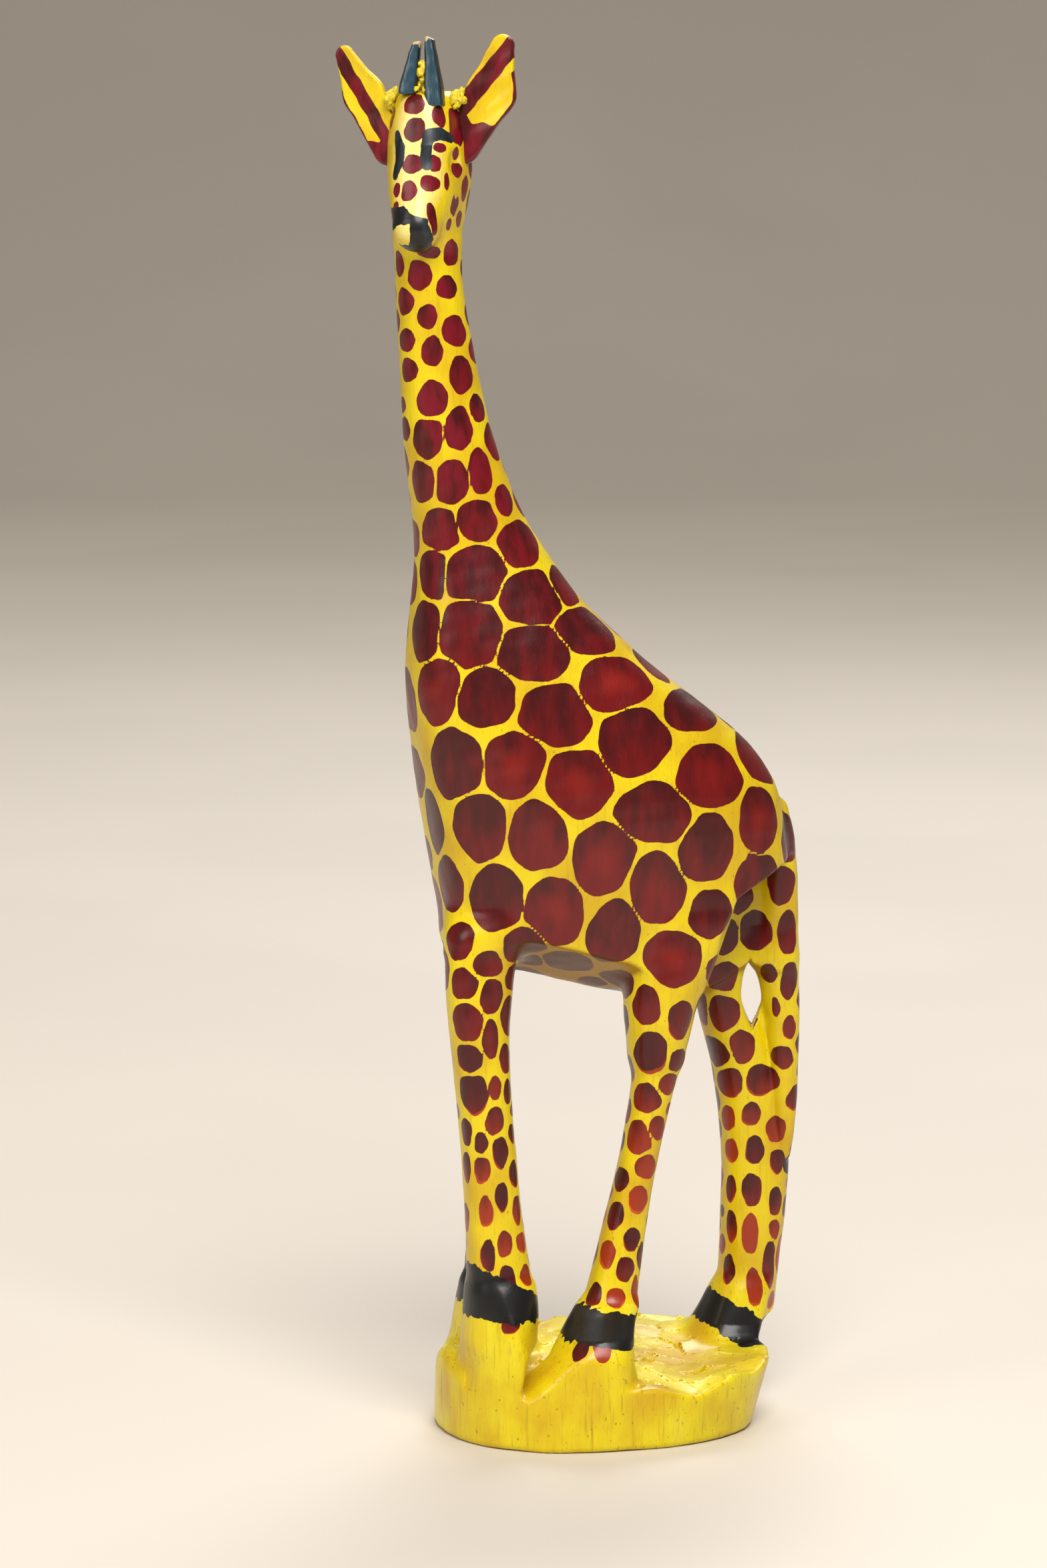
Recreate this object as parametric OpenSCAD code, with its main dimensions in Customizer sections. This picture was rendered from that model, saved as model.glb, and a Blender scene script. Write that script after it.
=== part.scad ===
// Carved wooden giraffe standing on its own base.
// Z is up, the chest faces -Y and the giraffe's left side is +X.
// The origin is the centre of the base's flat underside.

/* [Base] */
// Length of the base's underside, front to back
base_length = 67; // [60:1:70]
// Width of the base's underside, side to side
base_width = 59; // [52:1:62]
// Height of the base's rim
base_height = 14; // [12:0.5:16]
// How far the rim leans out behind the underside
base_flare = 5.5; // [0:0.5:7]
// Depth of the hollow chiselled between the feet
hollow_depth = 5; // [2:0.5:8]

/* [Trunk and neck] */
// Half width of the trunk at the haunches
trunk_half_width = 20; // [17:0.5:23]
// Half length of the trunk at the haunches
trunk_half_length = 38.5; // [36:0.5:40]
// Half thickness of the neck just under the head
neck_half_width = 6.6; // [5.5:0.1:7.5]
// How square the trunk is in level section, from 2 for an ellipse
trunk_squareness = 3; // [2:0.1:4]

/* [Legs] */
// Distance of each leg's middle from the centre plane
leg_spread = 9.5; // [8:0.5:12]
// Half thickness of the slimmest part of a leg
leg_half_width = 5; // [4:0.1:6]

/* [Head] */
// How far the head is turned to the giraffe's left, in degrees
head_turn = 60; // [0:1:90]
// Half width of the skull between the ears
skull_half_width = 7.7; // [7:0.1:9]
// Half width of the muzzle
muzzle_half_width = 4.6; // [3.5:0.1:5.5]
// Height of the flat crown above the underside of the base
crown_height = 282; // [280:1:285]

/* [Ears and horns] */
// Thickness of an ear
ear_thickness = 3.2; // [2:0.1:4]
// Half width of the left ear across its middle. The right one is 1 mm slimmer to each side.
ear_half_width = 5; // [3.5:0.1:5.5]
// Radius of the round peg on each ear
ear_peg_radius = 1.5; // [1:0.1:2]
// Length of a horn above the crown
horn_length = 10.5; // [8:0.5:14]
// Radius of a horn where it leaves the crown
horn_radius = 1.9; // [1.5:0.1:2.2]
// Depth to which ear and horn pegs are let into the head
peg_depth = 4; // [2:0.5:5]

/* [Hidden] */

paint_yellow = "gold";
stain_maroon = "maroon";
paint_black = "#1b1a18";
filler_yellow = "#d9b81e";

sides = 28;
leaf = 0.02;

left = 1;
right = -1;

// Forms are lofted through level slices, lowest first. A slice is
// [x, y, z, half width in X, half length in Y, squareness, taper],
// where a squareness of 2 is an ellipse, and a taper over 0 narrows its front and widens its back.
limb_squareness = 2.2;
neck_squareness = (trunk_squareness + 2) / 2;
base_squareness = 2.3;

base_slice = [0, 0, 0, base_width / 2, base_length / 2, base_squareness];
rim_slice = [0, base_flare / 2, base_height, base_width / 2, (base_length + base_flare) / 2, base_squareness];
plinth_height = 2;
bowl_radius = 34;
bowl_back = 4;
mound_root = 3;
mound_spread = 2;
mound_inset = [0.85, 0.72];

trunk_slices = [
  [0, 0, 95, 6, 5, 2],
  [0, -1, 97, 12, 15, 2],
  [0, 1, 101, trunk_half_width - 4.5, trunk_half_length - 12, 2.4],
  [0, 4, 106, trunk_half_width - 2.8, trunk_half_length - 2.5, trunk_squareness],
  [0, 4.5, 112, trunk_half_width - 1.8, trunk_half_length - 0.5, trunk_squareness],
  [0, 3.6, 120, trunk_half_width - 0.7, trunk_half_length, trunk_squareness],
  [0, 2.4, 128, trunk_half_width, trunk_half_length, trunk_squareness],
  [0, 0.9, 137, trunk_half_width, trunk_half_length, trunk_squareness],
  [0, -3.8, 147.5, trunk_half_width - 1, trunk_half_length - 3.3, trunk_squareness],
  [0, -12, 158.5, trunk_half_width - 2.5, trunk_half_length - 10.2, neck_squareness],
  [0, -16.5, 166, trunk_half_width - 4, trunk_half_length - 14.7, neck_squareness]
];

neck_slices = [
  trunk_slices[len(trunk_slices) - 1],
  [0, -21.5, 175.5, neck_half_width + 7.2, 18, neck_squareness],
  [0, -24.9, 186.5, neck_half_width + 4.7, 13.7, neck_squareness],
  [0, -28.6, 196.5, neck_half_width + 3.2, 11.1, limb_squareness],
  [0, -32, 210.5, neck_half_width + 1.8, 9.3, limb_squareness],
  [0, -34.1, 224.5, neck_half_width + 0.8, 8, limb_squareness],
  [0, -35.8, 238.5, neck_half_width + 0.2, 7, limb_squareness],
  [0, -36.2, 246, neck_half_width, 6.8, limb_squareness],
  [0, -36.2, 251, neck_half_width, 7, limb_squareness]
];

foreleg_left_slices = [
  [leg_spread + 1.2, -23.8, 27, leg_half_width + 1.8, 7.7],
  [leg_spread + 1, -24.3, 33, leg_half_width + 1.2, 6.9],
  [leg_spread + 0.8, -24.8, 40, leg_half_width + 0.8, 6.2],
  [leg_spread + 0.6, -25.7, 50, leg_half_width + 0.6, 5.7],
  [leg_spread + 0.2, -27.2, 68, leg_half_width + 0.6, 5.6],
  [leg_spread, -28.3, 85, leg_half_width + 0.8, 6.1],
  [leg_spread - 0.3, -28.4, 92, leg_half_width + 1, 6.6],
  [leg_spread - 0.8, -28, 100, leg_half_width + 1.2, 7.2],
  [leg_spread - 1.2, -27, 108, leg_half_width + 1.4, 7.8]
];

foreleg_right_slices = [
  [-leg_spread - 1.2, -18.5, 24, leg_half_width + 1.8, 7.4],
  [-leg_spread - 1, -18.7, 31, leg_half_width + 1.2, 6.4],
  [-leg_spread - 0.8, -19, 40, leg_half_width + 0.8, 5.7],
  [-leg_spread - 0.6, -19.8, 50, leg_half_width + 0.6, 5.3],
  [-leg_spread - 0.2, -21.2, 68, leg_half_width + 0.6, 5.2],
  [-leg_spread, -22.4, 85, leg_half_width + 0.8, 5.7],
  [-leg_spread + 0.3, -22.2, 92, leg_half_width + 1, 6.1],
  [-leg_spread + 0.8, -21.6, 100, leg_half_width + 1.2, 6.8],
  [-leg_spread + 1.2, -21, 108, leg_half_width + 1.4, 7.2]
];

hindleg_left_slices = [
  [leg_spread + 2, -2.4, 22, leg_half_width + 1.5, 6.6],
  [leg_spread + 1.5, 0.2, 30, leg_half_width + 0.5, 5.3],
  [leg_spread + 1, 2.6, 40, leg_half_width, 4.7],
  [leg_spread + 0.6, 5.6, 54, leg_half_width - 0.2, 4],
  [leg_spread + 0.8, 7.6, 63, leg_half_width - 0.2, 3.9],
  [leg_spread + 1, 9.2, 71, leg_half_width, 4.2],
  [leg_spread + 1.2, 10.6, 80, leg_half_width + 0.6, 5],
  [leg_spread + 1.2, 11, 90, leg_half_width + 1.4, 6.9],
  [leg_spread + 0.8, 13, 97, leg_half_width + 2, 8],
  [leg_spread, 15.5, 104, leg_half_width + 2.6, 9.2],
  [leg_spread - 1, 18, 112, leg_half_width + 3, 10]
];

hindleg_right_slices = [
  [-leg_spread - 1, 36, 20, leg_half_width + 1.6, 6.8],
  [-leg_spread - 0.6, 37.8, 26, leg_half_width + 1.2, 6.3],
  [-leg_spread - 0.2, 39, 33, leg_half_width + 1, 6.4],
  [-leg_spread + 0.2, 39.6, 42, leg_half_width + 0.9, 7],
  [-leg_spread + 0.2, 40.2, 52, leg_half_width + 0.9, 7.3],
  [-leg_spread + 0.2, 39.1, 63, leg_half_width + 0.9, 7.1],
  [-leg_spread + 0.2, 37.3, 75, leg_half_width + 0.9, 7.1],
  [-leg_spread + 0.3, 34.2, 84, leg_half_width + 1, 6.7],
  [-leg_spread + 0.5, 31.4, 93, leg_half_width + 1.1, 5.3],
  [-leg_spread + 0.8, 30.8, 102, leg_half_width + 1.6, 6.8],
  [-leg_spread + 1.5, 29.5, 112, leg_half_width + 2.5, 9]
];

tail_slices = [
  [-5.8, 44.6, 52, 2.2, 1.6],
  [-5.4, 44.9, 57, 2.8, 2.2],
  [-5, 45, 65, 3.3, 2.7],
  [-4.5, 44.6, 75, 3.5, 3.2],
  [-3.8, 44, 85, 3.6, 3.8],
  [-3, 43.2, 95, 3.6, 4],
  [-2, 43, 105, 3.6, 3.8],
  [-1, 42.8, 115, 3.6, 3.4],
  [0, 42, 125, 3.6, 2.8],
  [0, 40, 134, 3.2, 2]
];

// The head is drawn in its own frame, its face to -Y, and then turned on top of the neck.
head_foot = neck_slices[len(neck_slices) - 1];
head_axis = [0.2, -36.5];
throat_height = 5;
jaw_slice = [0, -1.4, 257, skull_half_width - 0.4, 8.6, limb_squareness, 0.2];
cheek_slice = [0, -1.2, 266, skull_half_width + 0.8, 9.6, limb_squareness, 0.25];
brow_slice = [0, -1, 274, skull_half_width + 0.4, 9, limb_squareness, 0.25];
crown_slice = [0, -0.6, crown_height, skull_half_width - 1, 7.4, limb_squareness, 0.2];
muzzle_root = [0, -5.5, 262];
muzzle_root_radius = muzzle_half_width + 1;
muzzle_tip = [0, -10, 253.6];

// Each ear is a leaf through three circles, [outward, up, radius], from its root to its tip.
ear_seat = skull_half_width - 0.4;
ear_peg_height = 272;
ear_left_circles = [[8.8, 270.4, 2.8], [13.7, 281.6, ear_half_width], [16.1, 291.4, 2.6]];
ear_right_circles = [[8.8, 270, 2.8], [13.4, 281.4, ear_half_width - 1], [17.4, 289.7, 1.9]];

horn_forward = 5.2;
horn_spacing = 5.6;
horn_left_lean = 1.1;
horn_right_lean = 1.9;
horn_tip_radius = 1;
horn_peg_radius = 1.2;

// Each crumb of filler is a pair of balls: [behind the ear's middle, height of the upper one].
crumb_radius = 1.5;
crumb_drop = 3;
crumb_places = [[-1.4, 279.5], [0, 278], [1.2, 280]];
horn_filler_radius = 1.6;
horn_filler_steps = 5;

function squareness(s) = len(s) > 5 ? s[5] : limb_squareness;
function taper(s) = len(s) > 6 ? s[6] : 0;

// The outline of a level slice, as a superellipse whose sides lean in towards its front
function outline(s) = [
  for (i = [0:sides - 1])
    let (
      across = cos(360 * i / sides),
      along = sin(360 * i / sides),
      power = 2 / squareness(s)
    )
    [
      s[3] * sign(across) * pow(abs(across), power) * (1 + taper(s) * along),
      s[4] * sign(along) * pow(abs(along), power)
    ]
];

// One slice of a form. Its thin leaf lies above its height, or below it if down is 1.
module slice(s, down = 0) {
  translate([s[0], s[1], s[2] - down * leaf])
    linear_extrude(height = leaf)
      polygon(outline(s));
}

// A rounded form through a list of slices
module loft(slices) {
  for (i = [0:len(slices) - 2])
    hull() {
      slice(slices[i]);
      slice(slices[i + 1], 1);
    }
}

// Moves what is drawn in the head's own frame on to the neck
module on_neck() {
  translate([head_axis[0], head_axis[1], 0])
    rotate([0, 0, head_turn])
      children();
}

// The mound of wood that a foot grows from, spreading down and inwards into the base
module mound(foot) {
  hull() {
    slice([foot[0] * mound_inset[0], foot[1] * mound_inset[1], mound_root, foot[3] + mound_spread, foot[4]]);
    slice(foot, 1);
  }
}

module base_block() {
  linear_extrude(height = plinth_height)
    polygon(outline(base_slice));
  hull() {
    translate([0, 0, plinth_height])
      slice(base_slice);
    slice(rim_slice, 1);
  }
}

module base() {
  color(paint_yellow) {
    difference() {
      base_block();
      translate([0, bowl_back, base_height - hollow_depth + bowl_radius])
        sphere(r = bowl_radius, $fn = 64);
    }
    mound(foreleg_left_slices[0]);
    mound(foreleg_right_slices[0]);
    mound(hindleg_left_slices[0]);
    mound(hindleg_right_slices[0]);
  }
}

module foreleg_left() {
  color(paint_yellow)
    loft(foreleg_left_slices);
}

module foreleg_right() {
  color(paint_yellow)
    loft(foreleg_right_slices);
}

module hindleg_left() {
  color(paint_yellow)
    loft(hindleg_left_slices);
}

module hindleg_right() {
  color(paint_yellow)
    loft(hindleg_right_slices);
}

// The trunk, notched where the four legs run up into it
module trunk() {
  color(stain_maroon)
    difference() {
      loft(trunk_slices);
      foreleg_left();
      foreleg_right();
      hindleg_left();
      hindleg_right();
    }
}

module neck() {
  color(stain_maroon)
    loft(neck_slices);
}

// The tail lies on the rump and on the back of the right hind leg, and is free in the slit between them.
module tail() {
  color(paint_black)
    difference() {
      loft(tail_slices);
      loft(trunk_slices);
      loft(hindleg_right_slices);
    }
}

// The skull and muzzle, with no sockets
module head_block() {
  hull() {
    slice(head_foot);
    on_neck()
      slice(jaw_slice);
  }
  on_neck() {
    loft([jaw_slice, cheek_slice, brow_slice, crown_slice]);
    hull() {
      translate(muzzle_root)
        sphere(r = muzzle_root_radius, $fn = 24);
      translate(muzzle_tip)
        sphere(r = muzzle_half_width, $fn = 24);
    }
  }
}

// Everything outside the flat seat of the ear on one side
module beyond_ear_seat(side) {
  translate([side * (ear_seat + 20), 0, ear_peg_height + 12])
    cube([40, 60, 30 + 12], center = true);
}

module ear_peg(side) {
  translate([side * (ear_seat - peg_depth), 0, ear_peg_height])
    rotate([0, side * 90, 0])
      cylinder(r = ear_peg_radius, h = peg_depth + 1, $fn = 32);
}

module horn_peg(side) {
  translate([side * horn_spacing / 2, -horn_forward, crown_height - peg_depth])
    cylinder(r = horn_peg_radius, h = peg_depth + 0.5, $fn = 32);
}

// The head, with flat seats and sockets for the ears and sockets for the horns, and clear of the neck
module head() {
  color(paint_yellow)
    difference() {
      head_block();
      translate([head_foot[0], head_foot[1], head_foot[2] - throat_height])
        linear_extrude(height = throat_height)
          polygon(outline(head_foot));
      on_neck()
        for (side = [left, right]) {
          beyond_ear_seat(side);
          ear_peg(side);
          horn_peg(side);
        }
    }
}

// A leaf-shaped ear through three circles, [outward, up, radius], with its peg
module ear(side, circles) {
  color(paint_yellow)
    on_neck() {
      intersection() {
        translate([0, ear_thickness / 2, 0])
          rotate([90, 0, 0])
            linear_extrude(height = ear_thickness)
              hull()
                for (c = circles)
                  translate([side * c[0], c[1]])
                    circle(r = c[2], $fn = 32);
        beyond_ear_seat(side);
      }
      ear_peg(side);
    }
}

module ear_left() {
  ear(left, ear_left_circles);
}

module ear_right() {
  ear(right, ear_right_circles);
}

// A tapered horn with a rounded tip and a peg, leaning towards the other one
module horn(side, lean) {
  color(paint_black)
    on_neck() {
      translate([side * horn_spacing / 2, -horn_forward, crown_height])
        hull() {
          cylinder(r = horn_radius, h = leaf, $fn = 32);
          translate([-side * lean, 0, horn_length - horn_tip_radius])
            sphere(r = horn_tip_radius, $fn = 32);
        }
      horn_peg(side);
    }
}

module horn_left() {
  horn(left, horn_left_lean);
}

module horn_right() {
  horn(right, horn_right_lean);
}

// Crumbs of filler packed round the back, top and front of an ear's root
module ear_filler(side, circles) {
  color(filler_yellow)
    difference() {
      on_neck()
        for (place = crumb_places)
          hull() {
            translate([side * (ear_seat - 0.4), place[0] * 1.6, place[1]])
              sphere(r = crumb_radius, $fn = 16);
            translate([side * (ear_seat + 1.2), place[0], place[1] - crumb_drop])
              sphere(r = crumb_radius, $fn = 16);
          }
      head_block();
      ear(side, circles);
    }
}

module ear_filler_left() {
  ear_filler(left, ear_left_circles);
}

module ear_filler_right() {
  ear_filler(right, ear_right_circles);
}

function horn_filler_width(step) = horn_filler_radius * (1 - 0.1 * step);

// A tapering stack of filler between the two horns
module horn_filler() {
  color(filler_yellow)
    difference() {
      on_neck()
        translate([0, -horn_forward, crown_height])
          for (step = [0:horn_filler_steps - 1])
            translate([0, 0, step])
              cylinder(r1 = horn_filler_width(step), r2 = horn_filler_width(step + 1), h = 1, $fn = 24);
      horn_left();
      horn_right();
    }
}

base();
foreleg_left();
foreleg_right();
hindleg_left();
hindleg_right();
trunk();
neck();
tail();
head();
ear_left();
ear_right();
horn_left();
horn_right();
ear_filler_left();
ear_filler_right();
horn_filler();
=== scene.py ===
"""Looks of the carved wooden giraffe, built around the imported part.

The sculpting code works in millimetres in the row frame: +Z up, the chest to -Y, the giraffe's left side to +X.
Each form is a distance field, negative inside, and meshes are made in metres from the fields.
"""
import math

import bmesh
import bpy
import numpy as np
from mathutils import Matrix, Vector


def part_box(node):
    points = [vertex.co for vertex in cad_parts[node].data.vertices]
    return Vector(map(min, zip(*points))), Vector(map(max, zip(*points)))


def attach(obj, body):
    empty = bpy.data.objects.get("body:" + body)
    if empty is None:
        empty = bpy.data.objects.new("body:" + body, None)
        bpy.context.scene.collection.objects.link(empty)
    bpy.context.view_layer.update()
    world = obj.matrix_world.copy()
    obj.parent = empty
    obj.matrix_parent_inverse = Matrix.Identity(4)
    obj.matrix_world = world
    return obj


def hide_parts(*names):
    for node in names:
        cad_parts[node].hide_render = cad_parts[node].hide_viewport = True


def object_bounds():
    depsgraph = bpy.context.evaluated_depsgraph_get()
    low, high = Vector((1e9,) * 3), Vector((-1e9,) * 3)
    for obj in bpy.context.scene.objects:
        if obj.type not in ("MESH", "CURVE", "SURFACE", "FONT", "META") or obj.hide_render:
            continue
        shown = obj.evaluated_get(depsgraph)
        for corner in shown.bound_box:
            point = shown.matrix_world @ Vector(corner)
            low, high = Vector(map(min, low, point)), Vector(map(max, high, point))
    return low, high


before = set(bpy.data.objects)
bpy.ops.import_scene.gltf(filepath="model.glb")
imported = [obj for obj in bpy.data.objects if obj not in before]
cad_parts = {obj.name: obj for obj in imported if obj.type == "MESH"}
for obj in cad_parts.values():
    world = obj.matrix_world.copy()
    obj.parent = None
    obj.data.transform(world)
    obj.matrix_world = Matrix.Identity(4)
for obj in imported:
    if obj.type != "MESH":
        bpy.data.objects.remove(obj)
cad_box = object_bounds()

MM = 0.001
FAR = 30.0
TINY = 1e-6
BODY_STEP = 0.6
EAR_STEP = 0.3
HORN_STEP = 0.25
FILLER_STEP = 0.25
# Grid steps per coarse step, and points worked out at a time.
BLOCK = 4
BATCH = 150000

# The chisel cuts are laid out over this far from the middle of the base.
CHISEL_REACH = 45.0

LEFT, RIGHT = 1, -1
LEGS = ["foreleg_left", "foreleg_right", "hindleg_left", "hindleg_right"]


# ---- reading the frame ----

def node_mesh(node):
    """Corner points in mm and edges of a CAD node."""
    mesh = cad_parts[node].data
    points = np.zeros(len(mesh.vertices) * 3)
    mesh.vertices.foreach_get("co", points)
    edges = np.zeros(len(mesh.edges) * 2, int)
    mesh.edges.foreach_get("vertices", edges)
    return points.reshape(-1, 3) / MM, edges.reshape(-1, 2)


def node_box(node):
    """Lowest and highest corner of a CAD node in mm."""
    low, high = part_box(node)
    return np.array(low) / MM, np.array(high) / MM


def level_sections(node, gap=2.0, reach=3.0):
    """Level cuts through a CAD node, lowest first, smoothed over height.

    Each row is z, centre x, centre y, half x, half y.
    """
    points, edges = node_mesh(node)
    a, b = points[edges[:, 0]], points[edges[:, 1]]
    low, high = points[:, 2].min(), points[:, 2].max()
    rows = []
    for z in np.linspace(low + 0.3, high - 0.3, int((high - low) / gap) + 1):
        cut = (a[:, 2] - z) * (b[:, 2] - z) < 0
        t = (z - a[cut, 2]) / (b[cut, 2] - a[cut, 2])
        hit = a[cut, :2] + t[:, None] * (b[cut, :2] - a[cut, :2])
        nearest, farthest = hit.min(0), hit.max(0)
        rows.append([z, *(nearest + farthest) / 2, *(farthest - nearest) / 2])
    return smoothed(np.array(rows), reach)


def smoothed(rows, reach):
    """Rows blurred over height, keeping their heights."""
    weight = np.exp(-((rows[:, :1] - rows[:, 0]) / reach) ** 2)
    out = rows.copy()
    out[:, 1:] = weight @ rows[:, 1:] / weight.sum(1, keepdims=True)
    return out


# ---- distance fields ----

def smooth_min(a, b, reach):
    """Union of two forms, with a fillet that starts where their surfaces are reach apart."""
    h = np.clip(0.5 + 0.5 * (b - a) / reach, 0, 1)
    return b + (a - b) * h - reach * h * (1 - h)


def smooth_max(a, b, reach):
    """What two forms share, with a rounded edge."""
    return -smooth_min(-a, -b, reach)


def section_distance(across, along, half_x, half_y, squareness):
    """Distance to an oval round the origin, which is squarer the higher its squareness."""
    across, along = np.abs(across) + TINY, np.abs(along) + TINY
    gauge = ((across / half_x) ** squareness + (along / half_y) ** squareness) ** (1 / squareness)
    return np.hypot(across, along) * (1 - 1 / gauge)


def ball(p, centre, radius):
    return np.linalg.norm(p - centre, axis=1) - radius


def cone_between(p, start, end, start_radius, end_radius):
    """A round bar between two points whose radius changes evenly."""
    along = np.subtract(end, start)
    t = np.clip((p - start) @ along / (along @ along), 0, 1)
    away = np.linalg.norm(p - start - t[:, None] * along, axis=1)
    return away - start_radius - t * (end_radius - start_radius)


class Limb:
    """A rounded form through level sections [z, x, y, half x, half y, squareness, taper], lowest first."""

    def __init__(self, rows, low, high, squareness=2.2, rounding=3.0):
        rows = np.array(rows, float)
        if rows.shape[1] < 6:
            rows = np.hstack([rows, np.full((len(rows), 1), squareness)])
        if rows.shape[1] < 7:
            rows = np.hstack([rows, np.zeros((len(rows), 1))])
        self.rows, self.low, self.high, self.rounding = rows, low, high, rounding
        self.box = [
            np.array([(rows[:, 1] - rows[:, 3]).min(), (rows[:, 2] - rows[:, 4]).min(), low]) - 9,
            np.array([(rows[:, 1] + rows[:, 3]).max(), (rows[:, 2] + rows[:, 4]).max(), high]) + 9,
        ]

    def section(self, z):
        return [np.interp(z, self.rows[:, 0], column) for column in self.rows[:, 1:].T]

    def side(self, p):
        """Distance to the sides, without the ends."""
        x, y, half_x, half_y, squareness, taper = self.section(p[:, 2])
        along = p[:, 1] - y
        half_x = half_x * (1 + taper * np.clip(along / half_y, -1, 1))
        return section_distance(p[:, 0] - x, along, half_x, half_y, squareness)

    def __call__(self, p):
        out = np.full(len(p), FAR)
        near = ((p > self.box[0]) & (p < self.box[1])).all(1)
        q = p[near]
        ends = np.maximum(q[:, 2] - self.high, self.low - q[:, 2])
        out[near] = smooth_max(self.side(q), ends, self.rounding)
        return out

    def surface(self, z, bearing):
        """The point at a height and bearing: 0 degrees is +X, the giraffe's left, and -90 its front."""
        x, y, half_x, half_y, squareness, taper = (float(v) for v in self.section(z))
        c, s = math.cos(math.radians(bearing)), math.sin(math.radians(bearing))
        half_x *= 1 + taper * s
        reach = (abs(c / half_x) ** squareness + abs(s / half_y) ** squareness) ** (-1 / squareness)
        return np.array([x + reach * c, y + reach * s, z])


def ripple(p, size, seed, waves=6):
    """A smooth irregular value from -1 to 1 whose bumps are about size mm apart."""
    rng = np.random.default_rng(seed)
    total = np.zeros(len(p))
    for _ in range(waves):
        direction = rng.normal(size=3)
        direction *= 2 * math.pi / (size * rng.uniform(0.8, 1.6) * np.linalg.norm(direction))
        total += np.sin(p @ direction + rng.uniform(0, 2 * math.pi))
    return total / waves ** 0.5 / 1.5


def facets(p, size, seed, slope):
    """Small flat chisel cuts: each cell round a random centre is a tilted plane, in mm of height."""
    rng = np.random.default_rng(seed)
    count = int(2 * CHISEL_REACH / size)
    grid = np.stack(np.meshgrid(np.arange(count), np.arange(count), indexing="ij"), -1).reshape(-1, 2)
    centres = (grid + rng.uniform(0.1, 0.9, grid.shape)) * size - CHISEL_REACH
    tilt = rng.normal(0, slope, grid.shape)
    best = np.full(len(p), 1e9)
    height = np.zeros(len(p))
    for centre, lean in zip(centres, tilt):
        away = p[:, :2] - centre
        gap = (away ** 2).sum(1)
        nearer = gap < best
        best[nearer] = gap[nearer]
        height[nearer] = away[nearer] @ lean
    return height


# ---- the carving ----

NECK_TOP = node_box("neck")[1][2]
NECK_FOOT = node_box("neck")[0][2]
CROWN = node_box("head")[1][2]
TORSO_FROM = 108
# Height and half width of the trunk's lowest level sections, where the flanks tuck in.
FLANK_TUCK = [(90, 14.2), (98, 15.8), (104, 17.2)]

LEG_FILLET = 5.0
# The reach of the tail's fillet with the rump and leg at several heights.
TAIL_FILLET_HEIGHTS, TAIL_FILLETS = (80, 86, 92, 98, 101, 105), (0.8, 4.0, 6.5, 9.0, 7.5, 4.5)
# The direction from the statue towards the photographer.
VIEW_SIDE = (0.951, -0.309)
# The slit cut through between the tail and the right hind leg, seen from there: its middle's height and
# place across, how far it leans per mm of height, its half height and half width.
SLIT_HEIGHT, SLIT_ACROSS, SLIT_LEAN, SLIT_HALF_HEIGHT, SLIT_HALF_WIDTH = 89.6, 33.9, -0.05, 8.0, 2.1
SLIT_SHAPE, SLIT_ROUNDING = 1.7, 0.5
HEAD_FILLET = 1.3
FOOT_FILLET = 3.0
# The knife's unevenness all over: height, size and random seed of its waves.
KNIFE_WAVES = [(0.16, 14, 3), (0.05, 4.5, 4)]


def torso_rows():
    trunk = level_sections("trunk")
    trunk = trunk[trunk[:, 0] > TORSO_FROM]
    tucked = np.repeat(trunk[:1], len(FLANK_TUCK), 0)
    tucked[:, [0, 3]] = FLANK_TUCK
    rows = smoothed(np.vstack([tucked, trunk, level_sections("neck")]), 4.0)
    squareness = np.interp(rows[:, 0], [NECK_FOOT - 15, NECK_FOOT + 25], [2.9, 2.2])
    return np.hstack([rows, squareness[:, None]])


TORSO_LOW = 90.0
TORSO = Limb(torso_rows(), TORSO_LOW, NECK_TOP + 2, rounding=2.0)
# The right hind ankle stands back a little: heights, and mm back at each.
ANKLE_SHIFT = (22, 33), (1.2, 0.0)
# How far each leg runs on below its CAD solid into the base, and above it into the trunk.
LEG_BELOW, LEG_ABOVE = 8, 2


def leg_limb(leg):
    low, high = node_box(leg)
    rows = level_sections(leg)
    if leg == "hindleg_right":
        rows[:, 2] += np.interp(rows[:, 0], *ANKLE_SHIFT)
    return Limb(rows, low[2] - LEG_BELOW, high[2] + LEG_ABOVE, 2.4, 4.0)


LEG_LIMBS = {leg: leg_limb(leg) for leg in LEGS}

# The tail at several heights: half its depth, half its width, and how far it hangs to one side.
TAIL_DEPTHS = (52, 62, 80, 95, 115, 134), (1.5, 2.6, 3.4, 4.0, 3.4, 2.2)
TAIL_WIDTHS = (52, 60, 134), (1.8, 3.1, 3.3)
TAIL_SWAY = (52, 75, 95, 125), (-5.8, -4.5, -3.0, 0.0)


def tail_rows():
    """The CAD tail's own outer face, with its inner part drawn whole."""
    rows = level_sections("tail")
    back = rows[:, 2] + rows[:, 4]
    half_y = np.interp(rows[:, 0], *TAIL_DEPTHS)
    half_x = np.interp(rows[:, 0], *TAIL_WIDTHS)
    rows[:, 1] = np.interp(rows[:, 0], *TAIL_SWAY)
    rows[:, 2], rows[:, 3], rows[:, 4] = back - half_y, half_x, half_y
    return rows


TAIL_LOW, TAIL_HIGH = 52.5, 132
TAIL = Limb(tail_rows(), TAIL_LOW, TAIL_HIGH, 2.2, 2.0)

# The flanks' lower edge: y and height at two points, its distance from the middle, and the slope of the
# bevel inside it.
FLANK_EDGE = [(-20.0, 108.0), (6.0, 100.5)]
FLANK_HALF_WIDTH = 18.2
BELLY_BEVEL = 0.5
FLANK_ROUNDING, BELLY_ROUNDING = 0.7, 1.5
# The belly's lowest line: y and height of points along it.
BELLY_LINE = [(-16.0, 97.0), (8.0, 92.0), (26.0, 92.5), (36.0, 99.0)]
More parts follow.
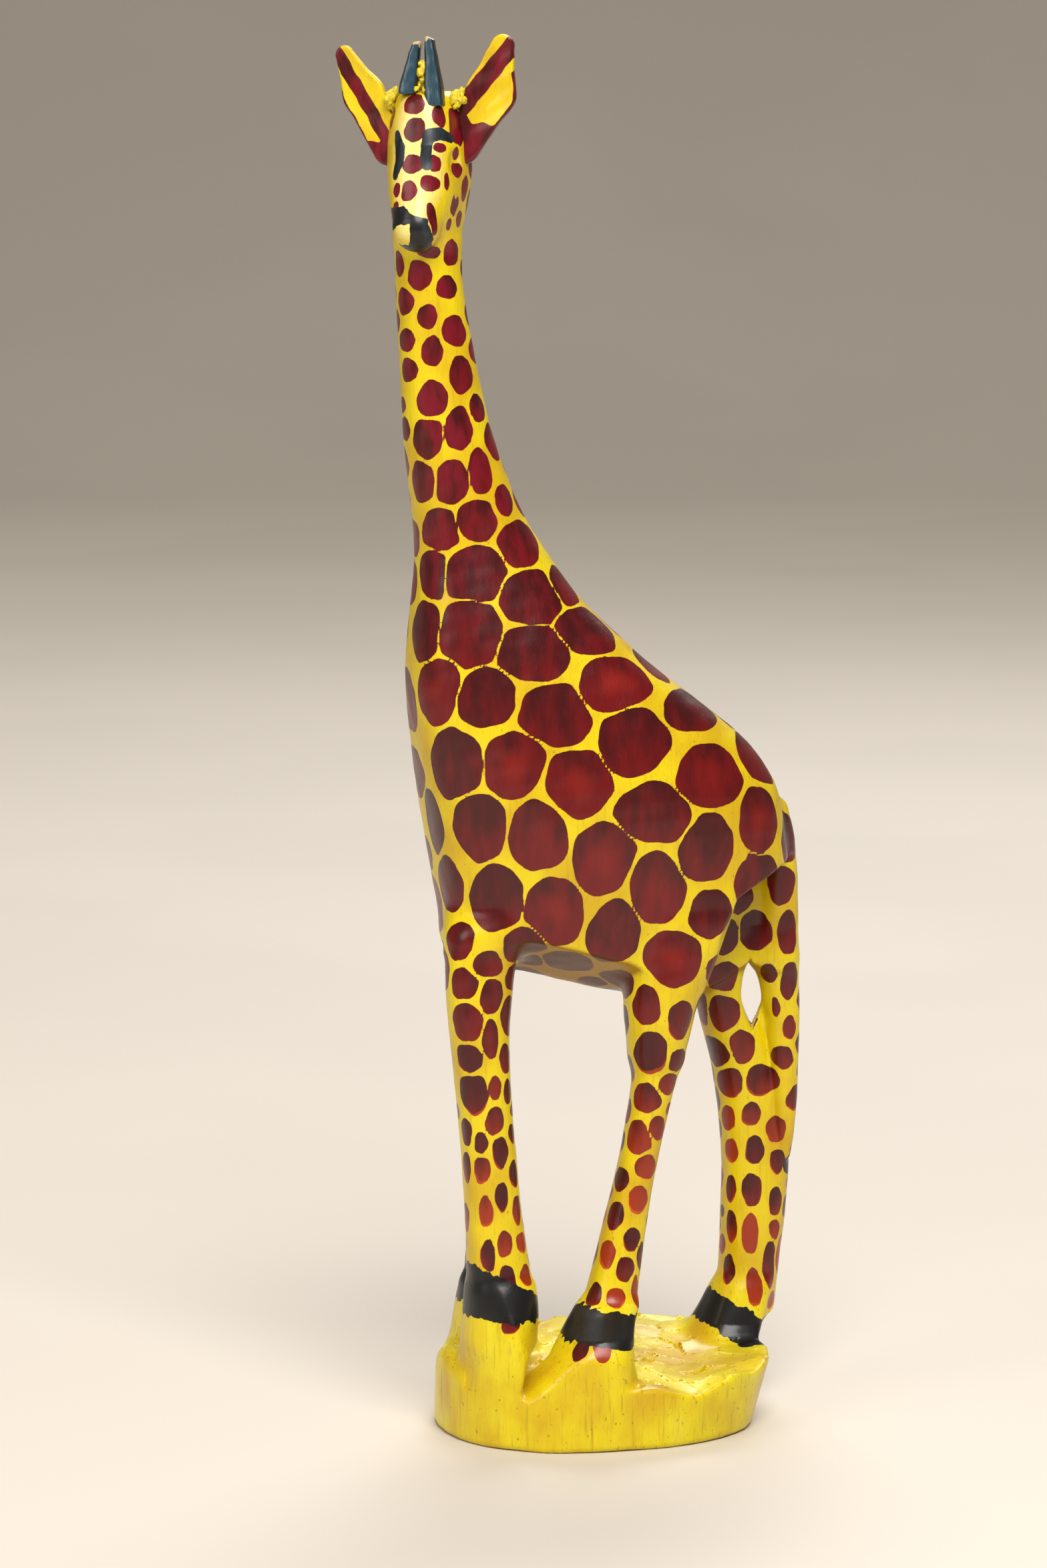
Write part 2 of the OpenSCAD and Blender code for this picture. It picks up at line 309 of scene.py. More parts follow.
# The crease behind the left haunch: height and y of points along it.
HAUNCH_CREASE = [(89, 14.5), (93.5, 17.2), (99, 19.5), (105.3, 20.8), (113.5, 25.6), (119.5, 37), (124, 52)]
HAUNCH_DEPTH = -3.0
# The crease leans by 30 degrees or more, so level distances to it shrink by this much.
CREASE_LEAN, CREASE_ROUNDING = 0.85, 0.8
THIGH_FILLET = 2.0
THIGH = Limb([
    [82, 10.8, 9.8, 5.4, 4.0], [88, 11.0, 10.6, 6.4, 5.0], [94, 10.6, 11.4, 7.4, 6.0],
    [100, 9.9, 13.4, 8.1, 8.2], [108, 9.4, 17.0, 8.6, 11.4],
], 80, 110, 2.5, 3.0)


def torso(p):
    """Trunk and neck, with a bevelled edge under the flanks and a crease behind the left haunch."""
    d = TORSO(p)
    (front, front_z), (back, back_z) = FLANK_EDGE
    fall = (back_z - front_z) / (back - front)
    edge = front_z + fall * (p[:, 1] - front)
    bevel = BELLY_BEVEL * (np.abs(p[:, 0]) - FLANK_HALF_WIDTH) + (edge - p[:, 2])
    bevel = bevel / math.hypot(1, BELLY_BEVEL)
    belly = np.interp(p[:, 1], *zip(*BELLY_LINE)) - p[:, 2]
    d = smooth_max(d, smooth_max(bevel, belly, BELLY_ROUNDING), FLANK_ROUNDING)
    d = smooth_min(d, THIGH(p), THIGH_FILLET)
    behind = (p[:, 1] - np.interp(p[:, 2], *zip(*HAUNCH_CREASE))) * CREASE_LEAN
    cut = np.minimum(behind, p[:, 0] - HAUNCH_DEPTH)
    return smooth_max(d, cut, CREASE_ROUNDING)


# ---- the base ----

BASE_BOTTOM = level_sections("base", 1.0, 0.5)[0]
BASE_WIDTH = 59
# Height of the rim on the giraffe's left and on its right.
RIM_NEAR, RIM_FAR = 13.4, 16.6
# The wall: how far it leans out behind per mm of height, its inset, the height and curve of its bulge, and
# its squareness.
REAR_FLARE = 0.31
WALL_INSET, WALL_BULGE, WALL_CURVE, WALL_SQUARENESS = 0.15, 8, 0.03, 2.3
# The wall cuts the legs up to this height, opens beyond it by a slope, and keeps its shape above its end.
WALL_TOP, WALL_OPENS, WALL_END = 18.0, 2, 24
# Nothing of the base reaches this height.
BASE_END = 38
# The rim is well rounded at the front and crisp behind: y, and the reach of its rounding there.
RIM_ROUNDING_FROM, RIM_ROUNDINGS = (-31, -24), (6.0, 1.2)
# Waves along the left rim: x of their crest, their reach, height and turns per mm.
WAVE_CREST, WAVE_REACH, WAVE_HEIGHT, WAVE_TURN = 27, 4, 0.7, 0.35
# The chisel cuts' size, random seed, slope and greatest depth.
CHISEL_CUT, CHISEL_SEED, CHISEL_SLOPE, CHISEL_DEPTH = 6.5, 11, 0.09, 0.7
# A level distance above the base's upper face shrinks by this much, for the face slopes.
FACE_LEAN = 0.95
MOUND_FILLET, UNDERSIDE_ROUNDING = 1.6, 1.6
# Hollows in the upper face: x, y, their reach in each, and their depth. The last is a raised lip in front.
HOLLOWS = [(3, 18, 17, 10, 2.2), (27, 12, 9, 10, 2.2), (20, -21, 14, 4.5, 3.8), (0, -33, 14, 7, -4.0)]


def base_wall(p):
    """Distance to the base's side wall, which leans out behind."""
    z = np.clip(p[:, 2], 0, WALL_END)
    back = REAR_FLARE * z
    y = BASE_BOTTOM[2] + back / 2
    half_y = BASE_BOTTOM[4] + back / 2
    half_x = BASE_BOTTOM[3] - WALL_INSET - WALL_CURVE * np.abs(z - WALL_BULGE)
    return section_distance(p[:, 0] - BASE_BOTTOM[1], p[:, 1] - y, half_x, half_y, WALL_SQUARENESS)


def base_top(p):
    """Height of the base's upper face, chiselled into hollows between the feet."""
    x, y = p[:, 0], p[:, 1]
    height = (RIM_NEAR + RIM_FAR) / 2 - (RIM_FAR - RIM_NEAR) / BASE_WIDTH * x
    for cx, cy, sx, sy, depth in HOLLOWS:
        height = height - depth * np.exp(-((x - cx) / sx) ** 2 - ((y - cy) / sy) ** 2)
    height += WAVE_HEIGHT * np.exp(-((x - WAVE_CREST) / WAVE_REACH) ** 2) * np.sin(y * WAVE_TURN)
    return height + np.clip(facets(p, CHISEL_CUT, CHISEL_SEED, CHISEL_SLOPE), -CHISEL_DEPTH, CHISEL_DEPTH)


# The wood below each foot spreads out to the wall: height, x, y, half x, half y of its level sections.
FOOT_SPREAD = {
    "foreleg_left": [(3, 12.5, -28.6, 13.5, 6.4), (12, 12.5, -28.2, 13.0, 6.2), (20, 12.2, -26.4, 10.6, 7.0)],
    "foreleg_right": [
        (3, -12.5, -19.4, 13.5, 11.0), (13, -12.5, -19.0, 12.5, 10.0), (19, -11.5, -18.8, 9.2, 8.6),
    ],
    "hindleg_left": [
        (3, 16.5, -10.0, 13.8, 15.5), (11, 17.5, -9.5, 12.4, 12.8),
        (18, 19.5, -7.0, 10.2, 8.4), (23, 16.8, -4.6, 9.6, 6.8),
    ],
    "hindleg_right": [(3, -11, 26, 14.0, 12.0), (12, -11, 32.5, 12.0, 10.0), (18, -10.8, 35.4, 9.0, 8.0)],
}
# Each mound ends this far above the leg's lowest section.
FOOT_RISE = 7.0


def foot_mounds():
    mounds = []
    for leg, rows in FOOT_SPREAD.items():
        top = LEG_LIMBS[leg].rows[0, 0] + FOOT_RISE
        own = [top, *LEG_LIMBS[leg].section(top)[:4]]
        mounds.append(Limb([*rows, own], 0, top - 1, 2.6, 2.0))
    return mounds


FOOT_MOUNDS = foot_mounds()


def base(p):
    out = np.full(len(p), FAR)
    near = p[:, 2] < BASE_END
    q = p[near]
    if not len(q):
        return out
    d = (q[:, 2] - base_top(q)) * FACE_LEAN
    for mound in FOOT_MOUNDS:
        d = smooth_min(d, mound(q), MOUND_FILLET)
    d = smooth_max(d, base_wall(q), np.interp(q[:, 1], RIM_ROUNDING_FROM, RIM_ROUNDINGS))
    out[near] = smooth_max(d, -q[:, 2], UNDERSIDE_ROUNDING)
    return out


# ---- the head, in its own frame: across to the giraffe's left, forward to the muzzle, and up ----

HORN_FORWARD = 5.2


def head_frame():
    """Origin on the neck's axis, and the across and forward directions, from the horns' pegs."""
    pegs = {}
    for side, node in ((LEFT, "horn_left"), (RIGHT, "horn_right")):
        points, _ = node_mesh(node)
        foot = points[points[:, 2] < CROWN - 0.5]
        pegs[side] = (foot.min(0) + foot.max(0)) / 2
    across = pegs[LEFT] - pegs[RIGHT]
    across[2] = 0
    across /= np.linalg.norm(across)
    forward = np.array([across[1], -across[0], 0])
    middle = (pegs[LEFT] + pegs[RIGHT]) / 2
    middle[2] = 0
    return middle - HORN_FORWARD * forward, across, forward


HEAD_AXIS, ACROSS, FORWARD = head_frame()


def to_head(p):
    q = p - HEAD_AXIS
    return np.stack([q @ ACROSS, q @ FORWARD, p[:, 2]], -1)


def from_head(q):
    return HEAD_AXIS + q[:, :1] * ACROSS + q[:, 1:2] * FORWARD + q[:, 2:] * np.array([0, 0, 1])


HEAD_FROM = 240
# Sections of the skull: height, across, forward, half widths, squareness, and how far it narrows in front.
SKULL = Limb([
    [250, 0.0, -0.4, 6.5, 7.0, 2.3, 0.0],
    [256, 0.1, 1.0, 7.2, 8.4, 2.5, -0.16],
    [261, 0.2, 1.6, 7.8, 9.2, 2.7, -0.22],
    [266, 0.2, 1.6, 8.2, 9.5, 2.8, -0.24],
    [271, 0.1, 1.3, 8.1, 9.2, 2.8, -0.24],
    [276, 0.0, 0.7, 7.6, 8.5, 2.7, -0.24],
    [282, 0.0, 0.0, 6.0, 7.2, 2.6, -0.24],
], 249, CROWN, rounding=2.6)
MUZZLE_ROOT, MUZZLE_TIP = (0.0, 5.6, 263.0), (0.0, 9.7, 254.4)
MUZZLE_ROOT_RADIUS, MUZZLE_TIP_RADIUS = 5.7, 4.95
MUZZLE_FILLET = 2.6
# The hollow cut at the left cheekbone, taller than it is wide.
NOTCH_PLACE, NOTCH_RADIUS, NOTCH_SHAPE = (8.8, 6.9, 267.6), 2.7, (1, 0.7, 0.6)


def head(p):
    out = np.full(len(p), FAR)
    near = p[:, 2] > HEAD_FROM
    q = to_head(p[near])
    muzzle = cone_between(q, MUZZLE_ROOT, MUZZLE_TIP, MUZZLE_ROOT_RADIUS, MUZZLE_TIP_RADIUS)
    notch = NOTCH_RADIUS - np.linalg.norm((q - NOTCH_PLACE) * NOTCH_SHAPE, axis=1)
    out[near] = smooth_max(smooth_min(SKULL(q), muzzle, MUZZLE_FILLET), notch, 0.4)
    return out


def carving_parts(p):
    """Distance to each part of the carving."""
    parts = {"base": base(p), "trunk": torso(p), "tail": TAIL(p), "head": head(p)}
    low = p[:, 2] < WALL_TOP + 6
    wall = base_wall(p[low]) - WALL_OPENS * np.maximum(p[low, 2] - WALL_TOP, 0)
    for leg, limb in LEG_LIMBS.items():
        parts[leg] = limb(p)
        parts[leg][low] = smooth_max(parts[leg][low], wall, 0.8)
    return parts


def almond_hole(p):
    """Positive inside the slit between the tail and the right hind leg."""
    across = -VIEW_SIDE[1] * p[:, 0] + VIEW_SIDE[0] * p[:, 1]
    rise = p[:, 2] - SLIT_HEIGHT
    half = SLIT_HALF_WIDTH * (1 - np.abs(rise / SLIT_HALF_HEIGHT) ** SLIT_SHAPE)
    return half - np.abs(across - SLIT_ACROSS - SLIT_LEAN * rise)


def carving(p):
    """The one piece of wood: base, legs, trunk, neck, tail and head."""
    parts = carving_parts(p)
    d = parts["trunk"]
    for leg in LEGS:
        d = smooth_min(d, parts[leg], LEG_FILLET)
    d = smooth_min(d, parts["tail"], np.interp(p[:, 2], TAIL_FILLET_HEIGHTS, TAIL_FILLETS))
    d = smooth_min(d, parts["head"], HEAD_FILLET)
    d = smooth_min(d, parts["base"], FOOT_FILLET)
    d = smooth_max(d, almond_hole(p), SLIT_ROUNDING)
    for height, size, seed in KNIFE_WAVES:
        d = d + height * ripple(p, size, seed)
    return np.maximum(d, -p[:, 2])


# ---- ears, horns and filler ----

# The outline of each ear runs round three circles: outward, up and radius.
EAR_CIRCLES = {
    LEFT: [(7.8, 270.4, 3.4), (13.6, 281.6, 5.0), (16.0, 291.1, 2.5)],
    RIGHT: [(7.8, 270.0, 3.4), (13.3, 281.4, 4.1), (17.2, 289.4, 1.9)],
}
EAR_HALF_THICKNESS = 1.5
EAR_DISH = 0.9
EAR_SEAT = 6.6


def bar_2d(u, v, start, end):
    """Distance in a plane to a tapered bar round two circles (u, v, radius), and the share of its length."""
    du, dv = end[0] - start[0], end[1] - start[1]
    t = np.clip(((u - start[0]) * du + (v - start[1]) * dv) / (du * du + dv * dv), 0, 1)
    away = np.hypot(u - start[0] - t * du, v - start[1] - t * dv)
    return away - start[2] - t * (end[2] - start[2]), t


def ear_outline(q, side):
    u, v = q[:, 0] * side, q[:, 2]
    root, middle, tip = EAR_CIRCLES[side]
    lower, t_low = bar_2d(u, v, root, middle)
    upper, t_up = bar_2d(u, v, middle, tip)
    along = np.where(lower < upper, t_low * 0.5, 0.5 + t_up * 0.5)
    return smooth_min(lower, upper, 1.5), along


def ear(side):
    def field(p):
        q = to_head(p)
        outline, along = ear_outline(q, side)
        dish = EAR_DISH * np.clip(-outline / 4.0, 0, 1) ** 0.7 * np.clip(along * 3, 0, 1)
        depth = q[:, 1] - 0.3
        front = depth - EAR_HALF_THICKNESS + dish
        back = -depth - EAR_HALF_THICKNESS
        d = smooth_max(smooth_max(outline, front, 0.9), back, 1.6)
        return smooth_max(d, EAR_SEAT - q[:, 0] * side, 0.2) + 0.05 * ripple(p, 3.5, 20 + side)
    return field


# Top and foot of each horn.
HORN_TOPS = {LEFT: 293.1, RIGHT: 292.1}
HORN_FEET = {LEFT: CROWN - 3, RIGHT: CROWN - 0.6}
HORN_LEAN = {LEFT: 1.1, RIGHT: 1.9}
HORN_SPREAD = 2.8


def horn(side):
    lean, top, foot = HORN_LEAN[side], HORN_TOPS[side], HORN_FEET[side]
    limb = Limb([
        [CROWN - 3, side * (HORN_SPREAD + 0.2), HORN_FORWARD + 0.7, 2.1, 2.0],
        [CROWN + 2, side * (HORN_SPREAD - lean * 0.2), HORN_FORWARD + 0.2, 1.85, 1.9],
        [top, side * (HORN_SPREAD - lean), HORN_FORWARD, 0.88, 1.1],
    ], foot, top, 3.2, 0.5)

    def field(p):
        q = to_head(p)
        chip = (q[:, 2] - top + 0.3 + 0.5 * side * (q[:, 0] - side * 2)) * 0.8
        return smooth_max(limb(q), chip, 0.2) + 0.06 * ripple(p, 2.4, 30 + side)
    return field


FILLER_FROM, FILLER_REACH = 277.3, 8.8
# Each filler's node, seed and number of crumbs, and the balls inside every one.
FILLERS = [("ear_filler_left", 41, 90), ("ear_filler_right", 42, 70), ("horn_filler", 43, 40)]
FILLER_CORE = 12


def filler(node, seed, crumbs, core):
    """A crumbly lump: balls inside the filler's CAD solid, and small crumbs run together over its surface."""
    points, _ = node_mesh(node)
    wanted = (points[:, 2] > FILLER_FROM) & (np.abs(to_head(points)[:, 0]) < FILLER_REACH)
    points = points[wanted] + [0, 0, 0.5]
    rng = np.random.default_rng(seed)
    inner = (points[rng.integers(0, len(points), core)] + points[rng.integers(0, len(points), core)]) / 2
    outer = points[rng.integers(0, len(points), crumbs)] + rng.normal(0, 0.25, (crumbs, 3))
    places = np.vstack([inner, outer])
    radii = np.concatenate([rng.uniform(0.7, 1.0, core), rng.uniform(0.3, 0.55, crumbs)])

    def field(p):
        d = ball(p, places[0], radii[0])
        for place, radius in zip(places[1:], radii[1:]):
            d = smooth_min(d, ball(p, place, radius), 0.3)
        return d + 0.2 * ripple(p, 0.9, seed)
    return field


# ---- from field to mesh ----

def sample(field, low, high, step):
    """The field on a grid, worked out only near its surface."""
    counts = (np.ceil((high - low) / step / BLOCK).astype(int) + 1) * BLOCK + 1
    axes = [low[i] + step * np.arange(counts[i]) for i in range(3)]
    coarse = np.stack(np.meshgrid(*[a[::BLOCK] for a in axes], indexing="ij"), -1)
    rough = field(coarse.reshape(-1, 3)).reshape(coarse.shape[:3])
    nearest = np.abs(rough)
    for axis in range(3):
        a = np.swapaxes(nearest, 0, axis)
        nearest = np.swapaxes(np.minimum(a[1:], a[:-1]), 0, axis)
    wanted = nearest < 2.2 * BLOCK * step
    values = rough
    for axis in range(3):
        values = np.repeat(values, BLOCK, axis)
    values = values[: counts[0], : counts[1], : counts[2]].copy()
    near = np.zeros(counts, bool)
    inner = wanted
    for axis in range(3):
        inner = np.repeat(inner, BLOCK, axis)
    near[:-1, :-1, :-1] = inner
    for axis in range(3):
        a = np.swapaxes(near, 0, axis)
        a[1:] |= a[:-1]
    index = np.stack(np.nonzero(near), -1)
    points = low + index * step
    batches = [field(points[i:i + BATCH]) for i in range(0, len(points), BATCH)]
    values[tuple(index.T)] = np.concatenate(batches)
    return values


def surface_net(values, low, step):
    """Vertices and outward quads of the zero surface of gridded values."""
    cells = np.array(values.shape) - 1
    corners, crossings = [], []
    for axis in range(3):
        a = np.swapaxes(values, 0, axis)
        first, second = a[:-1], a[1:]
        hit = np.nonzero((first < 0) != (second < 0))
        t = first[hit] / (first[hit] - second[hit])
        outward = first[hit] < 0
        index = np.stack(hit, -1)
        index[:, [0, axis]] = index[:, [axis, 0]]
        place = index.astype(float)
        place[:, axis] += t
        b, c = (axis + 1) % 3, (axis + 2) % 3
        inside = (index[:, b] > 0) & (index[:, c] > 0) & (index[:, b] < cells[b]) & (index[:, c] < cells[c])
        index, place, outward = index[inside], place[inside], outward[inside]
        ring = np.repeat(index[:, None], 4, 1)
        ring[:, 1, b] -= 1
        ring[:, 2, b] -= 1
        ring[:, 2, c] -= 1
        ring[:, 3, c] -= 1
        ring[~outward] = ring[~outward][:, ::-1]
        corners.append(ring.reshape(-1, 3))
        crossings.append(np.repeat(place, 4, 0))
    corners, crossings = np.concatenate(corners), np.concatenate(crossings)
    keys = np.ravel_multi_index(corners.T, values.shape)
    _, where, shares = np.unique(keys, return_inverse=True, return_counts=True)
    where = where.ravel()
    vertices = np.stack([np.bincount(where, crossings[:, i]) / shares for i in range(3)], -1)
    return low + vertices * step, where.reshape(-1, 4)


def gradient(field, p, reach=0.12):
    return np.stack([field(p + offset) - field(p - offset) for offset in np.eye(3) * reach], -1) / (2 * reach)


def settle(field, p, limit, rounds=2):
    """Points moved on to the zero surface, and the outward directions there."""
    for _ in range(rounds):
        slope = gradient(field, p)
        step = (field(p) / np.maximum((slope ** 2).sum(1), 0.05))[:, None] * slope
        length = np.linalg.norm(step, axis=1, keepdims=True)
        p = p - step * np.minimum(1, limit / np.maximum(length, 1e-9))
    slope = gradient(field, p)
    return p, slope / np.maximum(np.linalg.norm(slope, axis=1, keepdims=True), 1e-9)


def skin(field, low, high, step):
    """Vertices, quads and outward directions of a field's surface."""
    low, high = np.array(low) - 2 * step, np.array(high) + 2 * step
    vertices, quads = surface_net(sample(field, low, high, step), low, step)
    vertices, directions = settle(field, vertices, step * 0.7)
    return vertices, quads, directions


# ---- meshes ----

def refined(field, vertices, quads, directions, chosen):
    """The chosen quads, each split in four, with the new points on the surface."""
    quads = quads[chosen]
    pairs = np.sort(np.stack([quads, np.roll(quads, -1, 1)], -1).reshape(-1, 2), 1)
    edges, edge_of = np.unique(pairs, axis=0, return_inverse=True)
    edge_of = edge_of.reshape(-1, 4) + len(vertices)
    middles = vertices[edges].mean(1)
    centres = vertices[quads].mean(1)
    added, added_directions = settle(field, np.vstack([middles, centres]), 0.2, 1)
    centre_of = len(vertices) + len(edges) + np.arange(len(quads))
    split = [
        np.stack([quads[:, i], edge_of[:, i], centre_of, edge_of[:, i - 1]], -1)
        for i in range(4)
    ]
    return np.vstack([vertices, added]), np.vstack(split), np.vstack([directions, added_directions])


def closed_mesh(name, vertices, quads, directions, paint):
    """A mesh object in metres: the quads, a fan over each opening, and paint attributes."""
    used, where = np.unique(quads, return_inverse=True)
    mesh = bpy.data.meshes.new(name)
    mesh.from_pydata((vertices[used] * MM).tolist(), [], where.reshape(-1, 4).tolist())
    shell = bmesh.new()
    shell.from_mesh(mesh)
    openings = [edge for edge in shell.edges if edge.is_boundary]
    if openings:
        caps = bmesh.ops.holes_fill(shell, edges=openings, sides=0)["faces"]
        bmesh.ops.poke(shell, faces=caps, center_mode="MEAN")
        bmesh.ops.recalc_face_normals(shell, faces=shell.faces)
        shell.faces.ensure_lookup_table()
        if shell.faces[0].normal.dot(Vector(directions[quads[0]].mean(0))) < 0:
            bmesh.ops.reverse_faces(shell, faces=shell.faces)
    shell.to_mesh(mesh)
    shell.free()
    points = np.zeros(len(mesh.vertices) * 3)
    mesh.vertices.foreach_get("co", points)
    points = points.reshape(-1, 3) / MM
    outward = np.vstack([directions[used], np.tile([0, 0, 1.0], (len(points) - len(used), 1))])
    for key, values in paint(points, outward).items():
        attribute = mesh.attributes.new(key, "FLOAT", "POINT")
        attribute.data.foreach_set("value", values.astype(np.float32))
    mesh.polygons.foreach_set("use_smooth", np.ones(len(mesh.polygons), bool))
    corner_vertices = np.zeros(len(mesh.loops), int)
    mesh.loops.foreach_get("vertex_index", corner_vertices)
    normals = outward[corner_vertices]
    for cap in mesh.polygons[len(quads):]:
        normals[cap.loop_start:cap.loop_start + cap.loop_total] = cap.normal
    mesh.normals_split_custom_set(normals.tolist())
    piece = bpy.data.objects.new(name, mesh)
    bpy.context.scene.collection.objects.link(piece)
    return piece


def settle_piece(piece, node, material):
    """The piece rides with the statue, stands for its CAD node, and takes its material."""
    piece.data.materials.append(material)
    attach(piece, "root")
    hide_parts(node)


# ---- where the spots are ----

# Spots seen on the left side: height, bearing, width and height of the spot. Bearing 0 is the giraffe's left,
# -90 its chest and 90 its back.
NECK_SPOTS = [
    (249.5, -17, 5.2, 2.8), (246.7, -78, 3.6, 4.8), (249, 26, 4, 5), (244.5, -34, 5, 5.6),
    (242, 15, 4.5, 4.5), (239, -66, 5, 5), (236, -25, 4, 4.5),
    (233, 21, 5.5, 6), (231, -70, 5, 4.5), (229, -23, 4, 6), (225, -68, 5, 4.5), (224, 21, 5, 7.5),
    (219, -32, 6, 7), (217, 40, 4.5, 5.5), (213, 0, 6, 8), (211, -46, 6.5, 8), (210, 56, 5, 7.5),
    (202, -63, 6, 8.5), (202, -24, 7, 8.5), (204, 16, 5.5, 8.5), (198, 38, 5, 6), (194, -8, 8, 8.5),
    (192, -52, 8.5, 8.5), (189, 33, 10, 9.5), (183, -28, 12.5, 11.5), (183, -65, 8, 10), (178, 18, 13, 11.5),
    (180, 58, 9, 9), (171, -75, 9, 12.5), (171, -43, 13.5, 13), (171, 45, 14, 10.5), (167, -6, 15, 11.5),
]
TRUNK_SPOTS = [
    (159, -69, 12, 14.5), (158, -48, 13.5, 12.5), (154, -18, 16, 13.5), (160, 36, 18, 12), (154, 63, 17, 11),
    (148, 20, 17, 14.5), (144, -69, 12.5, 16), (144, -50, 13.5, 14.5), (140, -25, 14.5, 15), (133, 14, 17, 13.5),
    (140, 47, 15.5, 14.5), (131, -65, 12.5, 14.5), (131, -85, 9, 14), (129, -48, 13, 15), (124, -21, 14.5, 15.5),
    (117, 11, 13, 15.5), (125, 39, 13, 15), (130, 61, 12, 14.5), (118, -81, 10, 12.5), (116, -64, 12.5, 14),
    (113, -47, 13.5, 15), (108, -18, 12.5, 14), (102, 24, 12.5, 12.5), (111, 41, 10, 11),
]
LEG_SPOTS = {
    "foreleg_left": [
        (107, -62, 6.5, 8), (98, -47, 5.6, 6.7), (90, -40, 6.5, 8), (82.5, -41, 5.5, 6.2), (75, -37, 6.5, 8),
        (102, -3, 6, 5.7), (95.5, 8, 5, 7.8), (86.5, 5, 3.5, 8.8), (76, 9, 3.3, 5), (99, 55, 5, 6),
        (91, 51, 5, 8), (82, 41, 3.5, 6.5), (75, 42, 3, 5.5), (66.5, -65, 3.4, 6), (69, 4, 4, 6),
        (64.5, -29, 3, 4.8), (62.5, 11, 3.3, 7), (59, -74, 3.2, 6.6), (59, -32, 3.3, 6), (57.5, 41, 2.8, 5.5),
        (53, 5, 2.9, 5.6), (50, -31, 3, 6), (50, 41, 2.8, 6), (43, 2, 3.3, 5.4), (48, -92, 3.2, 6),
        (40.5, -35, 3.2, 6.4), (43, 44, 3.5, 4.4), (35.5, 0, 3.5, 5.8), (36, 42, 3.2, 4.5), (66, 47, 2.6, 4),
    ],
    "hindleg_left": [
        (92, -44, 6, 8.3), (89, 16, 6, 7.6), (82, -33, 7.3, 8.6), (80, 24, 4.8, 5.5), (75, 19, 4.6, 5.2),
        (72, -33, 6, 6.2), (65.5, 12, 4, 5.4), (63.5, -34, 5.7, 7), (78, -95, 3, 5.5), (68.5, -107, 4.4, 5),
        (57.5, 4, 4.9, 5.2), (54.5, -66, 5, 5), (50.5, 1, 4.3, 5.6), (47, -54, 4.5, 5.6), (42, 6, 4.1, 4.8),
        (39, -52, 4.2, 5.6), (36, 2, 4, 5.3), (30.5, -60, 4.2, 5), (30, -8, 3.9, 4.4), (38.5, 40, 2.6, 6.6),
        (31, 40, 2.5, 7),
    ],
    "hindleg_right": [
        (112, 22, 7, 8.6), (103, -4, 6.2, 7.6), (104, 50, 7, 8.3), (94.5, -15, 6.6, 6.8), (86, -28, 6.8, 7.3),
        (88, -84, 6, 10), (77, -74, 7, 7), (78.5, -12, 5.4, 7), (70.5, -54, 6.3, 6.4), (71, 12, 7.4, 6.2),
        (62.5, -67, 4, 5.4), (63.7, -19, 4.1, 4.8), (65.5, 62, 5, 5), (60.3, 41, 4.3, 5.3), (55.5, -64, 3.3, 5.3),
        (55.8, -19, 4.1, 5.6), (53, 29, 3.7, 5), (47, -65, 2.6, 6.1), (47, -25, 3.9, 7.3), (44, 29, 3.2, 6.8),
        (42.5, 66, 4, 5.8), (39, -60, 2.6, 7.1), (37.5, -22, 3.6, 8.2), (38, 31, 2.9, 5.2), (32.5, 62, 4.5, 8.5),
        (30.5, 26, 3.3, 10.5), (29.5, -60, 3.2, 6.1), (25.5, -5, 3.3, 8), (22.5, 38, 3.4, 4.1),
    ],
    "foreleg_right": [],
}
TAIL_SPOTS = [
    (114, -21, 5.3, 8.9), (103.5, 3, 4.4, 8.9), (95, -57, 3.4, 4.6), (93, 14, 4.1, 7.9), (87, -44, 1.8, 4.6),
    (82.5, 7, 3, 5), (76, -24, 4.7, 5),
]
# Spots on the belly's left bevel: x, y, and their size along and across the belly.
BELLY_SPOTS = [(14.5, -20, 10, 10), (11, -9.5, 12, 11), (9.5, 2.5, 8.5, 9), (4, -1.5, 7, 6), (7, -16.5, 7, 7)]
# Spots on the face: across, height, width, height of the spot.
FACE_SPOTS = [
    (-0.9, 279.3, 4, 4), (4.3, 276.9, 2.9, 3.8), (-0.4, 274.3, 3.9, 4.6), (4.7, 270.5, 2.6, 2),
    (3.9, 267.4, 2.4, 3.6), (7, 269.3, 1.9, 4.2), (-0.5, 267.2, 3.9, 3.3), (-1.2, 261.9, 3.7, 3.7),
    (3.1, 263.4, 3.8, 3.2), (-3.8, 261.9, 2.2, 3.1), (6, 263.6, 1.5, 3.1), (7.1, 260.2, 1.8, 3.6),
    (3.9, 256, 2.4, 5.8), (3.4, 254.3, 1.4, 3.4), (-4, 258.8, 1.8, 2.2),
]
# Spots on the left cheek: forward, height, width, height of the spot. The right cheek has its own.
LEFT_CHEEK_SPOTS = [
    (4.5, 266.2, 3, 3.4), (5, 259.2, 3, 5.2), (1.2, 262.2, 3, 4.6), (5.6, 255.2, 1.8, 2.8), (1.8, 256, 2.6, 3),
    (-2.5, 266.5, 4, 4.4), (-3, 259.5, 3.6, 4.4), (-5.5, 273, 4, 4.4), (3.6, 274.6, 5, 7.2),
]
RIGHT_CHEEK_SPOTS = [
    (4.2, 276.5, 3.2, 3.8), (1.2, 262, 3.4, 4.4), (4.6, 258, 2.6, 4), (-2.5, 267, 4, 4.6), (-3, 259, 3.6, 4.4),
    (-5.5, 273.5, 4, 4.2), (0.6, 269, 2.6, 3.2),
]
